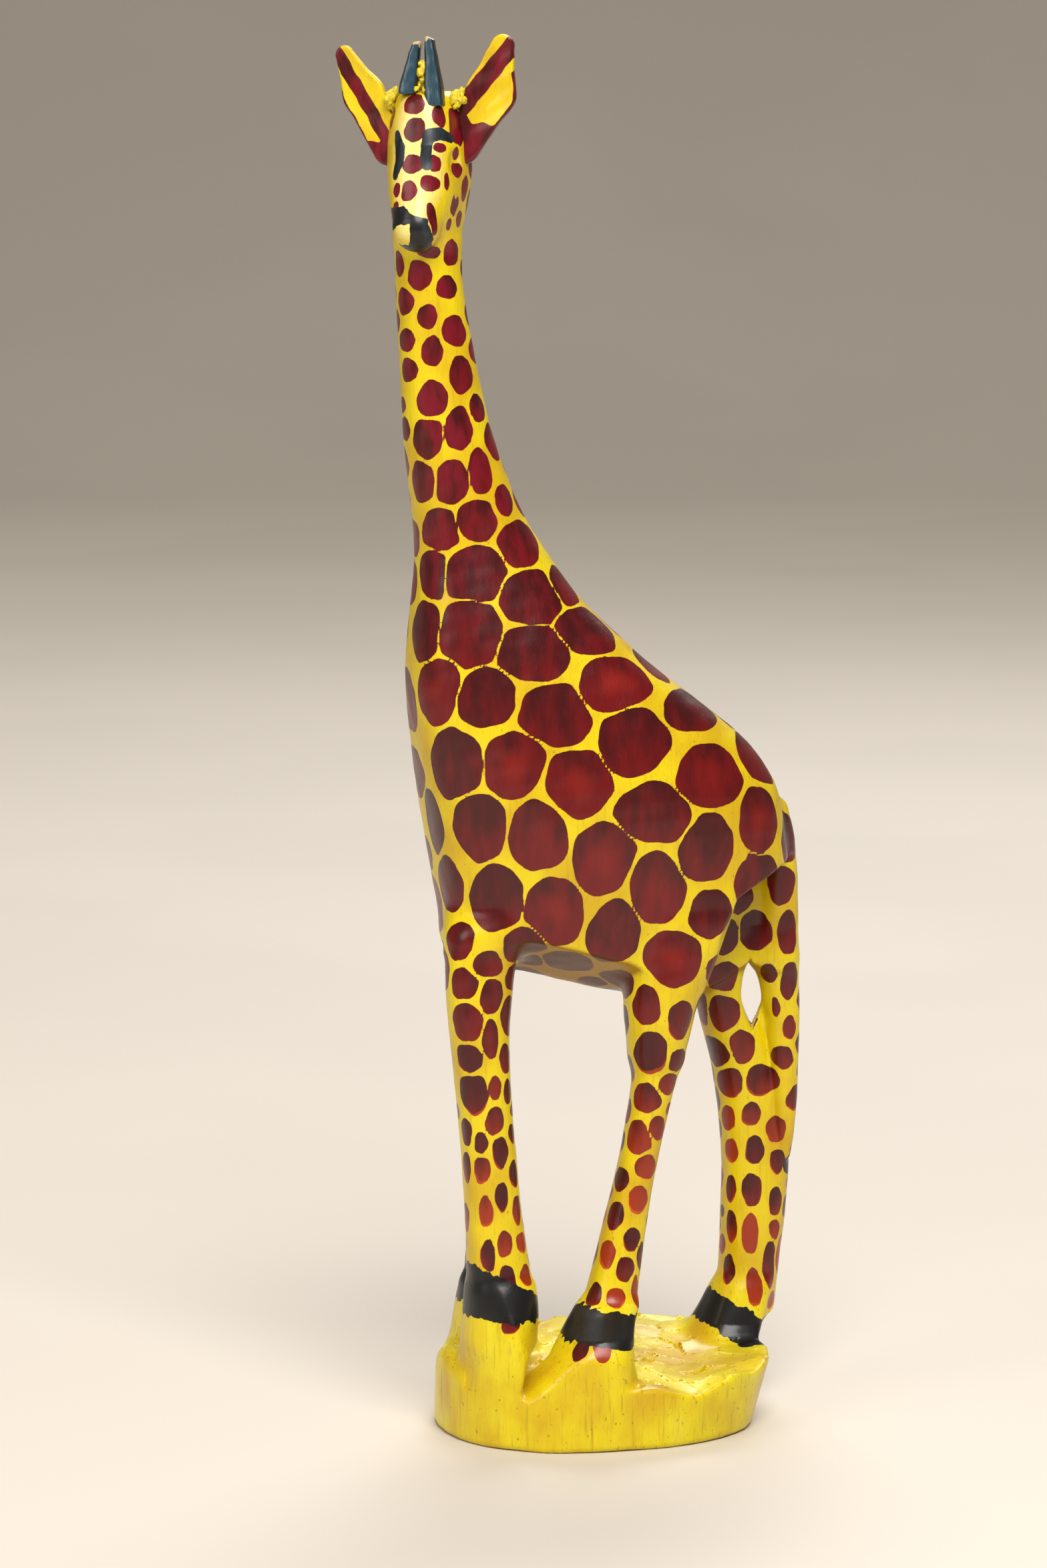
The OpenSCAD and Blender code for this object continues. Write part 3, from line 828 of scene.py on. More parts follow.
# Spots on the back of the head: across, height, width, height of the spot.
NAPE_SPOTS = [
    (-3.5, 273, 5.4, 5.6), (3, 272, 5.6, 5.4), (-3.6, 264, 5, 6), (2.8, 263.5, 5.4, 5.8), (0, 256, 5, 5),
]
GAP = 0.4
NECK_SPOT_GROWTH, TRUNK_SPOT_GROWTH, LEG_SPOT_GROWTH = 1.13, 1.0, 1.1
HEAD_SPOT_GROWTH = 1.2
# Spots are packed in beside the listed ones from this height up, with these half sizes at several heights.
# So many places are tried, and on the sides turned away also with shares of that size for the gaps.
FILL_FROM = 34.0
FILL_SIZES = [
    (25, 2.2), (45, 2.3), (70, 2.7), (92, 3.4), (108, 6.5), (150, 7), (172, 6.1), (190, 4.4), (215, 3.1), (250, 2.4),
]
FILL_PLACES, FILL_SEED = 9000, 6
TURNED_AWAY, GAP_SHARES = 0.35, (0.8, 0.6)
# Points over the head start this far from its axis, before or behind it and beside it.
BEFORE_FACE, BESIDE_HEAD = 22.0, 18.0
# The second coat of stain misses the first one's edge on the legs, below this height.
FRINGE_BELOW = 92.0
# Drips of stain under the hoof bands, seen from the left: y, height, width and height of the drip.
DRIPS = [(-11.2, 21.4, 4.0, 5.4), (-7.2, 21.6, 4.0, 5.4), (-24.9, 26.6, 4.2, 3.8)]


class Spots:
    """Painted spots: for each its place, directions, half sizes and hand-made irregularity."""

    def __init__(self, seed):
        self.rng = np.random.default_rng(seed)
        self.places, self.axes, self.halves, self.lobes, self.tones, self.shifts = [], [], [], [], [], []

    def add(self, place, outward, width, height):
        outward = outward / np.linalg.norm(outward)
        across = np.cross([0, 0, 1], outward)
        if np.linalg.norm(across) < 0.2:
            across = np.cross([1, 0, 0], outward)
        across /= np.linalg.norm(across)
        self.places.append(place)
        self.axes.append([across, np.cross(outward, across), outward])
        self.halves.append([width / 2, height / 2, max(width, height) * 0.6])
        self.lobes.append(self.rng.uniform(0, 2 * math.pi, 4))
        self.tones.append(self.rng.uniform(0, 1))
        slip, margin = (0.25, 1.1) if place[2] < FRINGE_BELOW else (0.0, 2.0)
        self.shifts.append([self.rng.uniform(-0.5, 0.8) * slip, self.rng.uniform(0.0, 1.2) * slip, margin])

    def reach(self):
        return np.array(self.halves)[:, :2].mean(1)

    def measure(self, p):
        """Per point: mm inside its spot, mm inside the second coat, tone, and height within the spot."""
        best, second = np.full(len(p), -FAR), np.full(len(p), -FAR)
        coat, tone, lift = np.full(len(p), -FAR), np.zeros(len(p)), np.zeros(len(p))
        for place, axes, half, lobes, shade, shift in zip(
                self.places, self.axes, self.halves, self.lobes, self.tones, self.shifts):
            near = np.nonzero((np.abs(p - place) < max(half) * 2.2 + 2).all(1))[0]
            if not len(near):
                continue
            u, v, w = (((p[near] - place) @ np.array(axes).T) / half).T
            turn = np.arctan2(v, u)
            wave = 1 + 0.045 * np.sin(2 * turn + lobes[0]) + 0.04 * np.sin(3 * turn + lobes[1])
            wave += 0.025 * np.sin(5 * turn + lobes[2]) + 0.012 * np.sin(9 * turn + lobes[3])
            size = math.sqrt(half[0] * half[1])
            inside = (1 - np.sqrt(u * u + v * v + w * w) * wave) * size
            upper = (shift[2] - np.hypot(u - shift[0], v - shift[1]) * wave) * size
            better = inside > best[near]
            second[near] = np.where(better, best[near], np.maximum(second[near], inside))
            hit = near[better]
            best[hit], coat[hit], tone[hit], lift[hit] = inside[better], upper[better], shade, v[better]
        room = (best - second) / 2 - GAP / 2
        return smooth_min(best, room, 1.0), coat, tone, np.clip(lift, -1, 1)


def wanted_half_size(p):
    """Half size of a spot at a place on the body, for the sides the photograph doesn't show."""
    return np.interp(p[:, 2], *zip(*FILL_SIZES))


def fill_spots(spots, places, outward, growth):
    """Packs spots beside those already there until no place has room for one more."""
    want = wanted_half_size(places) * growth
    clear = np.full(len(places), 1e3)
    for place, reach in zip(spots.places, spots.reach()):
        clear = np.minimum(clear, np.linalg.norm(places - place, axis=1) - reach)
    while True:
        spare = clear - want - 0.75 * GAP
        spare[spare < 0] = 1e6
        chosen = int(np.argmin(spare))
        if spare[chosen] > 1e5:
            return
        half = want[chosen] * spots.rng.uniform(0.92, 1.05)
        tall = 1.28 if places[chosen, 2] < 92 else 1.06
        spots.add(places[chosen], outward[chosen], 2 * half / tall ** 0.5, 2 * half * tall ** 0.5)
        clear = np.minimum(clear, np.linalg.norm(places - places[chosen], axis=1) - half)


def land(start, heading, field, steps=70):
    """Where points moving in a heading first meet the field's surface."""
    p = np.array(start, float)
    heading = np.array(heading, float)
    for _ in range(steps):
        p = p + heading * np.maximum(field(p), -0.3)[:, None] * 0.6
    return p


def limb_places(limb, rows):
    start = np.array([limb.surface(z, bearing) for z, bearing, _, _ in rows])
    return settle(carving, start, 2.0, 6)


def add_landed(spots, begin, heading, sizes):
    """Adds spots where points moving in a heading meet the carving."""
    places, outward = settle(carving, land(begin, heading, carving), 0.4, 1)
    for place, out, (width, height) in zip(places, outward, sizes):
        spots.add(place, out, width, height)


def add_head_spots(spots):
    groups = [
        (FACE_SPOTS, lambda a, z: (a, BEFORE_FACE, z), -FORWARD),
        (LEFT_CHEEK_SPOTS, lambda f, z: (BESIDE_HEAD, f, z), -ACROSS),
        (RIGHT_CHEEK_SPOTS, lambda f, z: (-BESIDE_HEAD, f, z), ACROSS),
        (NAPE_SPOTS, lambda a, z: (a, -BESIDE_HEAD, z), FORWARD),
    ]
    for rows, start, heading in groups:
        begin = from_head(np.array([start(row[0], row[1]) for row in rows]))
        sizes = [(width * HEAD_SPOT_GROWTH, height * HEAD_SPOT_GROWTH) for _, _, width, height in rows]
        add_landed(spots, begin, heading, sizes)


def all_spots(vertices, directions):
    spots = Spots(5)
    listed = [(TORSO, NECK_SPOTS, NECK_SPOT_GROWTH), (TORSO, TRUNK_SPOTS, TRUNK_SPOT_GROWTH)]
    listed += [(TAIL, TAIL_SPOTS, LEG_SPOT_GROWTH)]
    listed += [(LEG_LIMBS[leg], rows, LEG_SPOT_GROWTH) for leg, rows in LEG_SPOTS.items() if rows]
    for limb, rows, growth in listed:
        places, outward = limb_places(limb, rows)
        for place, out, (_, _, width, height) in zip(places, outward, rows):
            spots.add(place, out, width * growth, height * growth)
    begin = np.array([(45.0, y, z) for y, z, _, _ in DRIPS])
    add_landed(spots, begin, (-1, 0, 0), [row[2:] for row in DRIPS])
    begin = np.array([(x, y, 70.0) for x, y, _, _ in BELLY_SPOTS])
    add_landed(spots, begin, (0, 0, 1), [row[2:] for row in BELLY_SPOTS])
    height = vertices[:, 2]
    body = np.nonzero((height > FILL_FROM) & (height < NECK_TOP - 3) & (head(vertices) > 2))[0]
    chosen = np.random.default_rng(FILL_SEED).choice(body, min(len(body), FILL_PLACES), replace=False)
    fill_spots(spots, vertices[chosen], directions[chosen], 1.0)
    hidden = chosen[directions[chosen, :2] @ VIEW_SIDE < TURNED_AWAY]
    for share in GAP_SHARES:
        fill_spots(spots, vertices[hidden], directions[hidden], share)
    add_head_spots(spots)
    return spots


# ---- what is painted where ----

# Height of a hoof band's upper edge at the leg's middle and its fall per mm towards the back, the same for
# its lower edge, and how far out from the leg the band reaches.
BANDS = {
    "foreleg_left": (35.3, 0.50, 26.8, 0.06, 7),
    "foreleg_right": (33.0, 0.10, 25.5, 0.05, 6),
    "hindleg_left": (27.3, 0.16, 21.2, 0.12, 12),
    "hindleg_right": (20.2, 0.55, 10.6, 0.75, 8.5),
}
NOSE_FROM = 7.5
# Black strokes on the face: across, height and half thickness at each point.
FACE_STROKES = [
    [(6.4, 272.4, 1), (4.6, 273.4, 1.4), (2.7, 273, 1.5), (2.2, 271.2, 1.2), (2.1, 268.9, 1.15), (2.4, 267, 1.1)],
    [(-4.4, 273.2, 0.9), (-3.6, 270.6, 1.35), (-3.6, 267.6, 1.3), (-4.5, 264.8, 0.9)],
]
# The black cap on the nose, and the bare cream patch in it: across and height of their corners.
NOSE_CAP = [
    (-7, 258.2), (-4.1, 258.4), (-1.9, 258.9), (-0.7, 257.4), (1.6, 256.6), (3.2, 256.2), (3.8, 254.0),
    (3.6, 250.8), (3.0, 249.0), (2.4, 247.5), (-4, 247.5), (-7, 250.5),
]
NOSE_PATCH = [
    (-5.6, 252.6), (-3.4, 254.6), (-0.5, 255.2), (-0.2, 253.2), (-0.9, 250.7), (-2.8, 250.9), (-4.6, 251.2),
]
# Black lines down a limb: height, bearing and half thickness at each point.
TAIL_LINE = [(84, 84, 0.5), (74, 86, 0.9), (64, 88, 1.2), (56, 90, 1.8), (52, 90, 2.4)]


def stroke_inside(p, points, radii):
    d = np.full(len(p), FAR)
    for i in range(len(points) - 1):
        d = np.minimum(d, cone_between(p, points[i], points[i + 1], radii[i], radii[i + 1]))
    return -d


def polygon_inside(u, v, corners):
    """Per point, how far inside a polygon it is, negative outside."""
    distance, inside = np.full(len(u), FAR), np.zeros(len(u), bool)
    for (start_u, start_v), (end_u, end_v) in zip(corners, corners[1:] + corners[:1]):
        du, dv = end_u - start_u, end_v - start_v
        t = np.clip(((u - start_u) * du + (v - start_v) * dv) / (du * du + dv * dv), 0, 1)
        distance = np.minimum(distance, np.hypot(u - start_u - t * du, v - start_v - t * dv))
        if dv:
            inside ^= ((start_v > v) != (end_v > v)) & (u < start_u + (v - start_v) * du / dv)
    return np.where(inside, distance, -distance)


def black_strokes():
    """Strokes as points on the surface with their half thicknesses."""
    strokes = []
    for line in FACE_STROKES:
        begin = from_head(np.array([[a, BEFORE_FACE, z] for a, z, _ in line]))
        strokes.append((land(begin, -FORWARD, carving), [radius for _, _, radius in line]))
    points, _ = settle(carving, np.array([TAIL.surface(z, bearing) for z, bearing, _ in TAIL_LINE]), 1.5, 4)
    strokes.append((points, [radius for _, _, radius in TAIL_LINE]))
    return strokes


def black_inside(p, strokes):
    """Per point, mm inside the nearest black mark or hoof band."""
    inside = np.full(len(p), -FAR)
    for points, radii in strokes:
        inside = np.maximum(inside, stroke_inside(p, points, radii))
    ragged = 0.45 * ripple(p, 3.2, 50) + 0.3 * ripple(p, 1.3, 51)
    q = to_head(p)
    cap, patch = (polygon_inside(q[:, 0], q[:, 2], corners) for corners in (NOSE_CAP, NOSE_PATCH))
    nose = np.minimum(np.minimum(cap, -patch) + 0.4 * ragged, q[:, 1] - NOSE_FROM)
    inside = np.maximum(inside, nose)
    away = {leg: limb.side(p) for leg, limb in LEG_LIMBS.items()}
    nearest = np.minimum.reduce(list(away.values()))
    for leg, (top, top_fall, bottom, bottom_fall, reach) in BANDS.items():
        behind = p[:, 1] - LEG_LIMBS[leg].section(p[:, 2])[1]
        band = np.minimum(top - top_fall * behind - p[:, 2], p[:, 2] - bottom + bottom_fall * behind)
        own = np.where(away[leg] <= nearest, reach - away[leg], -FAR)
        inside = np.maximum(inside, np.minimum(band + 1.3 * ragged, own))
    return inside


def carving_paint(spots, strokes):
    def paint(p, outward):
        spot, coat, tone, lift = spots.measure(p)
        # below: painted shade, a darker brown on the belly's downward-facing faces.
        below = np.clip((-outward[:, 2] - 0.3) / 0.3, 0, 1) * ((p[:, 2] > 86) & (p[:, 2] < 108))
        # pale: painted highlight, a pale cream laid on the faces of the head that look forward, where the light's
        # sheen falls.
        pale = np.clip((outward @ FORWARD - 0.55) / 0.35, 0, 1) * np.clip((p[:, 2] - 250) / 3, 0, 1)
        return {
            "spot": spot, "coat": coat, "tone": tone, "lift": lift, "below": below, "pale": pale,
            "black": black_inside(p, strokes),
        }
    return paint


EAR_TONE = -0.25
EAR_BACK_BAND = 2.2
# Maroon band on each ear: two points on its middle line, outward and up, its half width, and the root's top.
EAR_BANDS = {
    LEFT: ((8.5, 280.0), (17.1, 290.0), 1.85, 275.2),
    RIGHT: ((7.6, 271.0), (17.1, 287.0), 1.3, 271.5),
}


def ear_paint(side):
    start, end, half_width, root_top = EAR_BANDS[side]
    axis = np.subtract(end, start)
    axis /= np.linalg.norm(axis)

    def paint(p, outward):
        q = to_head(p)
        u, v = q[:, 0] * side, q[:, 2]
        outer = (u - start[0]) * axis[1] - (v - start[1]) * axis[0]
        outline, _ = ear_outline(q, side)
        wobble = 0.22 * ripple(p, 2.6, 60 + side)
        root = root_top - v + 1.2 * np.clip(start[0] + 1.2 - u, 0, 2) + 0.7 * ripple(p, 3.4, 65 + side)
        rim = np.minimum(outer - half_width - 1.5, 0.5 + outline)
        front = np.maximum(np.maximum(half_width - np.abs(outer), root), rim)
        back = np.maximum(EAR_BACK_BAND - np.abs(outer), root)
        maroon = np.where(outward @ FORWARD > -0.3, front, back) + wobble
        none = np.zeros(len(p))
        return {
            "spot": maroon, "coat": maroon + 1, "tone": none + EAR_TONE,
            "lift": none, "below": none, "pale": none, "black": none - FAR,
        }
    return paint


def horn_paint(p, outward):
    tip = np.where(to_head(p)[:, 0] > 0, HORN_TOPS[LEFT], HORN_TOPS[RIGHT])
    # front: how far each face of the horn looks forward, for the painted reflection on it.
    return {"worn": p[:, 2] - tip + 0.7 + 0.5 * ripple(p, 1.6, 70), "front": outward @ FORWARD}


def no_paint(p, outward):
    return {}


# ---- materials ----

class Nodes:
    """A node material being put together. Lengths in its patterns are in mm."""

    def __init__(self, name):
        self.material = bpy.data.materials.new(name)
        self.material.use_nodes = True
        self.tree = self.material.node_tree
        self.tree.nodes.clear()
        self.output = self.tree.nodes.new("ShaderNodeOutputMaterial")
        coordinate = self.tree.nodes.new("ShaderNodeTexCoord")
        self.place = self.scaled(coordinate.outputs["Object"], (1000, 1000, 1000))

    def put(self, node, socket, value):
        if isinstance(value, bpy.types.NodeSocket):
            self.tree.links.new(value, node.inputs[socket])
        else:
            node.inputs[socket].default_value = value

    def scaled(self, vector, scale):
        node = self.tree.nodes.new("ShaderNodeMapping")
        self.put(node, "Vector", vector)
        node.inputs["Scale"].default_value = scale
        return node.outputs["Vector"]

    def attribute(self, name):
        node = self.tree.nodes.new("ShaderNodeAttribute")
        node.attribute_name = name
        return node.outputs["Fac"]

    def height(self):
        """Height above the floor in mm."""
        node = self.tree.nodes.new("ShaderNodeSeparateXYZ")
        self.put(node, "Vector", self.place)
        return node.outputs["Z"]

    def noise(self, stretch, detail=2.0, roughness=0.5):
        """Noise whose bumps are about 1/stretch mm apart along each axis."""
        node = self.tree.nodes.new("ShaderNodeTexNoise")
        self.put(node, "Vector", self.scaled(self.place, stretch))
        self.put(node, "Scale", 1.0)
        self.put(node, "Detail", detail)
        self.put(node, "Roughness", roughness)
        return node.outputs["Fac"]

    def math(self, operation, a, b):
        node = self.tree.nodes.new("ShaderNodeMath")
        node.operation = operation
        self.put(node, 0, a)
        self.put(node, 1, b)
        return node.outputs[0]

    def plus(self, a, b):
        return self.math("ADD", a, b)

    def minus(self, a, b):
        return self.math("SUBTRACT", a, b)

    def times(self, a, b):
        return self.math("MULTIPLY", a, b)

    def fade(self, value, start, end, low=0.0, high=1.0):
        """low below start and high above end, with a smooth step between."""
        node = self.tree.nodes.new("ShaderNodeMapRange")
        node.interpolation_type = "SMOOTHSTEP"
        self.put(node, "Value", value)
        for socket, number in (("From Min", start), ("From Max", end), ("To Min", low), ("To Max", high)):
            self.put(node, socket, number)
        return node.outputs["Result"]

    def blend(self, share, first, second):
        node = self.tree.nodes.new("ShaderNodeMix")
        node.data_type = "RGBA"
        self.put(node, 0, share)
        for socket, colour in ((6, first), (7, second)):
            self.put(node, socket, colour if isinstance(colour, bpy.types.NodeSocket) else (*colour, 1))
        return node.outputs[2]

    def bump(self, height, distance, strength=1.0):
        node = self.tree.nodes.new("ShaderNodeBump")
        self.put(node, "Height", height)
        self.put(node, "Distance", distance * MM)
        self.put(node, "Strength", strength)
        return node.outputs["Normal"]

    def finish(self, colour, roughness, normal, **constants):
        shader = self.tree.nodes.new("ShaderNodeBsdfPrincipled")
        self.put(shader, "Base Color", colour)
        self.put(shader, "Roughness", roughness)
        self.put(shader, "Normal", normal)
        for socket, number in constants.items():
            shader.inputs[socket.replace("_", " ")].default_value = number
        self.tree.links.new(shader.outputs[0], self.output.inputs[0])
        return self.material


LEMON = (0.74, 0.57, 0.002)
BASE_LEMON = (0.77, 0.64, 0.002)
GOLD = (0.60, 0.38, 0.002)
OCHRE = (0.34, 0.19, 0.006)
CREAM = (0.74, 0.62, 0.12)
# Pale cream of the painted highlight on the face.
FACE_HIGHLIGHT_CREAM = (0.82, 0.74, 0.30)
# Brown for the specks in the wood and for the painted shade under the belly, then the spots' stain darkened in that
# painted shade.
SPECK_AND_UNDERSIDE_SHADE_BROWN = (0.33, 0.16, 0.004)
UNDERSIDE_SHADED_STAIN = (0.085, 0.020, 0.003)
GLOW = (0.27, 0.010, 0.004)
FIRST_COAT = (0.38, 0.036, 0.003)
FIRST_COAT_ORANGE = (0.55, 0.085, 0.005)
MAROON = (0.052, 0.0010, 0.0016)
MAROON_LIGHT = (0.145, 0.0022, 0.0030)
# Crimson of the painted sheen on the spots of the shoulders and neck.
CRIMSON_SHEEN = (0.17, 0.003, 0.013)
BLACK = (0.006, 0.0055, 0.005)
# Blue-black of the painted highlight in the black marks on the head.
BLUE_BLACK = (0.014, 0.022, 0.030)
BARE_WOOD = (0.60, 0.42, 0.17)
HORN_BLACK = (0.010, 0.011, 0.012)
# Blue-black of the horns' painted sheen, and blue of the painted reflection on their forward-facing faces.
HORN_BLUE_BLACK = (0.014, 0.022, 0.028)
HORN_BLUE = (0.010, 0.048, 0.075)
FILLER_OCHRE = (0.55, 0.38, 0.010)
FILLER_YELLOW = (0.82, 0.68, 0.02)


def painted_wood(name, lemon=LEMON, grain=0.3, ochre=0.25, cream=0.0, specks_from=0.74):
    n = Nodes(name)
    wobble = n.times(n.minus(n.noise((0.9, 0.9, 0.7), 3.0), 0.5), 0.5)
    patches = n.noise((0.07, 0.07, 0.05), 3.0)
    streaks = n.noise((1.5, 1.5, 0.07), 3.0, 0.6)
    fine = n.noise((5.0, 5.0, 0.25), 2.0, 0.6)
    specks = n.fade(n.noise((1.1, 1.1, 0.9), 1.0), specks_from, specks_from + 0.06)
    yellow = n.blend(n.fade(patches, 0.38, 0.70), lemon, GOLD)
    yellow = n.blend(n.times(n.fade(patches, 0.5, 0.3), cream), yellow, CREAM)
    yellow = n.blend(n.times(n.fade(streaks, 0.54, 0.76), grain), yellow, OCHRE)
    yellow = n.blend(n.times(n.fade(fine, 0.6, 0.78), ochre), yellow, OCHRE)
    yellow = n.blend(n.times(specks, 0.7), yellow, SPECK_AND_UNDERSIDE_SHADE_BROWN)
    # Painted highlight: the head's forward-facing faces are blended towards pale cream.
    yellow = n.blend(n.times(n.attribute("pale"), 0.7), yellow, FACE_HIGHLIGHT_CREAM)
    # Painted shade: the belly's downward-facing faces turn brown.
    yellow = n.blend(n.times(n.attribute("below"), 0.85), yellow, SPECK_AND_UNDERSIDE_SHADE_BROWN)

    tone, lift, height = n.attribute("tone"), n.attribute("lift"), n.height()
    stain_patches = n.noise((0.35, 0.35, 0.12), 3.0)
    uneven = n.plus(tone, n.times(stain_patches, 0.6))
    first = n.blend(n.fade(uneven, 0.6, 1.3), FIRST_COAT, FIRST_COAT_ORANGE)
    depth = n.plus(n.times(lift, -0.2), n.plus(n.times(tone, 0.35), stain_patches))
    second = n.blend(n.fade(depth, 0.35, 1.0), MAROON, MAROON_LIGHT)
    # Painted sheen: spots on the shoulders and neck turn a lighter crimson, more so higher up.
    spot_sheen = n.times(n.fade(height, 150, 215), n.fade(stain_patches, 0.35, 0.7))
    second = n.blend(spot_sheen, second, CRIMSON_SHEEN)
    glow = n.times(n.fade(n.attribute("spot"), 2.0, 6.5), n.fade(tone, 0.45, 0.95))
    second = n.blend(n.times(glow, 0.7), second, GLOW)
    thin = n.times(n.fade(height, 95, 45), n.fade(n.plus(uneven, n.times(lift, -0.15)), 0.5, 1.1))
    second = n.blend(n.times(thin, 0.75), second, FIRST_COAT)
    stain = n.blend(n.fade(n.plus(n.attribute("coat"), wobble), -0.1, 0.25), first, second)
    # Painted shade: spots on the belly's downward-facing faces turn darker.
    stain = n.blend(n.times(n.attribute("below"), 0.7), stain, UNDERSIDE_SHADED_STAIN)
    spot_mask = n.fade(n.plus(n.attribute("spot"), n.times(wobble, 0.6)), -0.05, 0.07)
    colour = n.blend(spot_mask, yellow, stain)
    black_mask = n.fade(n.plus(n.attribute("black"), wobble), -0.05, 0.07)
    # Painted highlight: the black marks on the head turn blue-black in patches.
    blue_highlight = n.times(n.fade(stain_patches, 0.45, 0.6), n.fade(height, 225, 245))
    colour = n.blend(black_mask, colour, n.blend(blue_highlight, BLACK, BLUE_BLACK))

    pores = n.fade(n.noise((3.2, 3.2, 0.5), 1.0), 0.70, 0.76)
    relief = n.plus(n.times(streaks, 0.6), n.times(fine, 0.35))
    relief = n.minus(relief, n.times(pores, 0.6))
    relief = n.plus(relief, n.times(spot_mask, 0.12))
    rough = n.plus(n.times(fine, 0.22), n.fade(spot_mask, 0, 1, 0.36, 0.24))
    sheen = {"Coat_Weight": 0.5, "Coat_Roughness": 0.24, "Specular_IOR_Level": 0.2}
    return n.finish(colour, rough, n.bump(relief, 0.10), **sheen)


def black_horn_paint():
    n = Nodes("black_horn_paint")
    # Painted sheen: patches of the black turn blue-black.
    sheen = n.noise((1.2, 1.2, 0.2), 3.0)
    colour = n.blend(n.fade(sheen, 0.4, 0.7), HORN_BLACK, HORN_BLUE_BLACK)
    # Painted reflection: the horns' forward-facing faces turn blue.
    colour = n.blend(n.times(n.fade(n.attribute("front"), 0.6, 0.9), 0.9), colour, HORN_BLUE)
    worn = n.fade(n.attribute("worn"), -0.1, 0.3)
    colour = n.blend(n.times(worn, 0.8), colour, BARE_WOOD)
    relief = n.noise((2.5, 2.5, 0.4), 3.0)
    rough = n.plus(n.times(worn, 0.3), 0.3)
    return n.finish(colour, rough, n.bump(relief, 0.10), Coat_Weight=0.4, Coat_Roughness=0.2)


def glue_filler():
    n = Nodes("glue_filler")
    crumbs = n.noise((1.6, 1.6, 1.6), 4.0, 0.65)
    colour = n.blend(n.fade(crumbs, 0.35, 0.62), FILLER_OCHRE, FILLER_YELLOW)
    rough = n.plus(n.times(crumbs, 0.3), 0.45)
    return n.finish(colour, rough, n.bump(crumbs, 0.35), Coat_Weight=0.2, Coat_Roughness=0.4)


# ---- the pieces ----

# Groups of fewer quads than this go to the piece round them.
SMALL_ISLAND = 200
SETTLING_ROUNDS = 6


def islands(quads, codes):
    """Numbers the connected groups of quads that share a code, and counts the quads of each."""
    corners = codes[:, None] * (quads.max() + 1) + quads
    used, corners = np.unique(corners, return_inverse=True)
    corners = corners.reshape(-1, 4)
    group, before = np.arange(len(used)), None
    while before is None or (group != before).any():
        before = group.copy()
        for first, second in ((0, 1), (1, 2), (2, 3), (3, 0)):
            np.minimum.at(group, corners[:, first], before[corners[:, second]])
            np.minimum.at(group, corners[:, second], before[corners[:, first]])
        group = group[group]
    _, number, counts = np.unique(group[corners[:, 0]], return_inverse=True, return_counts=True)
    return number.ravel(), counts


def corner_votes(quads, codes, kinds):
    """How many quads of each code meet at each vertex."""
    size = (quads.max() + 1) * kinds
    return np.bincount((quads * kinds + codes[:, None]).ravel(), minlength=size).reshape(-1, kinds)


def settled_codes(quads, codes, kinds):
    """Codes without ragged edges, and with each small island given to the code round it."""
    for _ in range(SETTLING_ROUNDS):
        codes = np.argmax(corner_votes(quads, codes, kinds)[quads].sum(1), 1)
    number, counts = islands(quads, codes)
    for island in np.nonzero(counts < SMALL_ISLAND)[0]:
        mine = number == island
        around = corner_votes(quads, codes, kinds)[np.unique(quads[mine])].sum(0)
        around[codes[mine][0]] = 0
        codes[mine] = np.argmax(around)
    return codes


def main_part(quads):
    """The quads of the largest connected group."""
    number, counts = islands(quads, np.zeros(len(quads), int))
    return quads[number == np.argmax(counts)]


def split_labels(quads, vertices):
    """Which part of the carving each quad belongs to."""
    centres = vertices[quads].mean(1)
    parts = carving_parts(centres)
    names = ["base", *LEGS, "trunk", "tail", "head"]
    nearest = np.argmin(np.stack([parts[name] for name in names]), 0)
    labels = np.array(names, dtype="<U16")[nearest]
    labels[(labels == "trunk") & (centres[:, 2] > NECK_FOOT)] = "neck"
    labels[(labels == "head") & (centres[:, 2] < NECK_TOP - 2.5)] = "neck"
    found, codes = np.unique(labels, return_inverse=True)
    return found[settled_codes(quads, codes.ravel(), len(found))]


def build_carving(materials):
    low, high = np.array(cad_box[0]) / MM, np.array(cad_box[1]) / MM
    high[2] = CROWN
    vertices, quads, directions = skin(carving, low, high, BODY_STEP)
    labels = split_labels(quads, vertices)
    paint = carving_paint(all_spots(vertices, directions), black_strokes())
    for name in np.unique(labels):
        chosen = labels == name
        if name == "head":
            shell = refined(carving, vertices, quads, directions, chosen)
        else:
            shell = vertices, quads[chosen], directions
        piece = closed_mesh("carved_" + name, *shell, paint)
        slot, material = ("yellow_wood", "base") if name == "base" else ("painted_wood", "body")
        settle_piece(piece, name, materials[material])


def build_small_piece(name, node, field, step, margins, paint, material):
    """One loose piece from its own field, sampled in its CAD node's box with margins below and above."""
    low, high = node_box(node)
    vertices, quads, directions = skin(field, low - margins[0], high + margins[1], step)
    piece = closed_mesh(name, vertices, main_part(quads), directions, paint)
    settle_piece(piece, node, material)


def build_small_pieces(materials):
    for word, side in (("left", LEFT), ("right", RIGHT)):
        build_small_piece(
            f"painted_ear_{word}", f"ear_{word}", ear(side), EAR_STEP, (1.5, 1.0),
            ear_paint(side), materials["ear"])
        build_small_piece(
            f"black_horn_{word}", f"horn_{word}", horn(side), HORN_STEP, (0.5, 0.5),
            horn_paint, materials["horn"])
    for node, seed, crumbs in FILLERS:
        build_small_piece(
            f"crumbly_{node}", node, filler(node, seed, crumbs, FILLER_CORE), FILLER_STEP, (1.5, 1.5),
            no_paint, materials["filler"])


# ---- floor, lights and camera ----

def plain_material(name, colour, roughness):
    n = Nodes(name)
    mottle = n.noise((0.004, 0.004, 0.004), 2.0)
    tint = n.blend(n.fade(mottle, 0.4, 0.6), colour, tuple(0.97 * c for c in colour))
    return n.finish(tint, roughness, n.bump(mottle, 0.01))


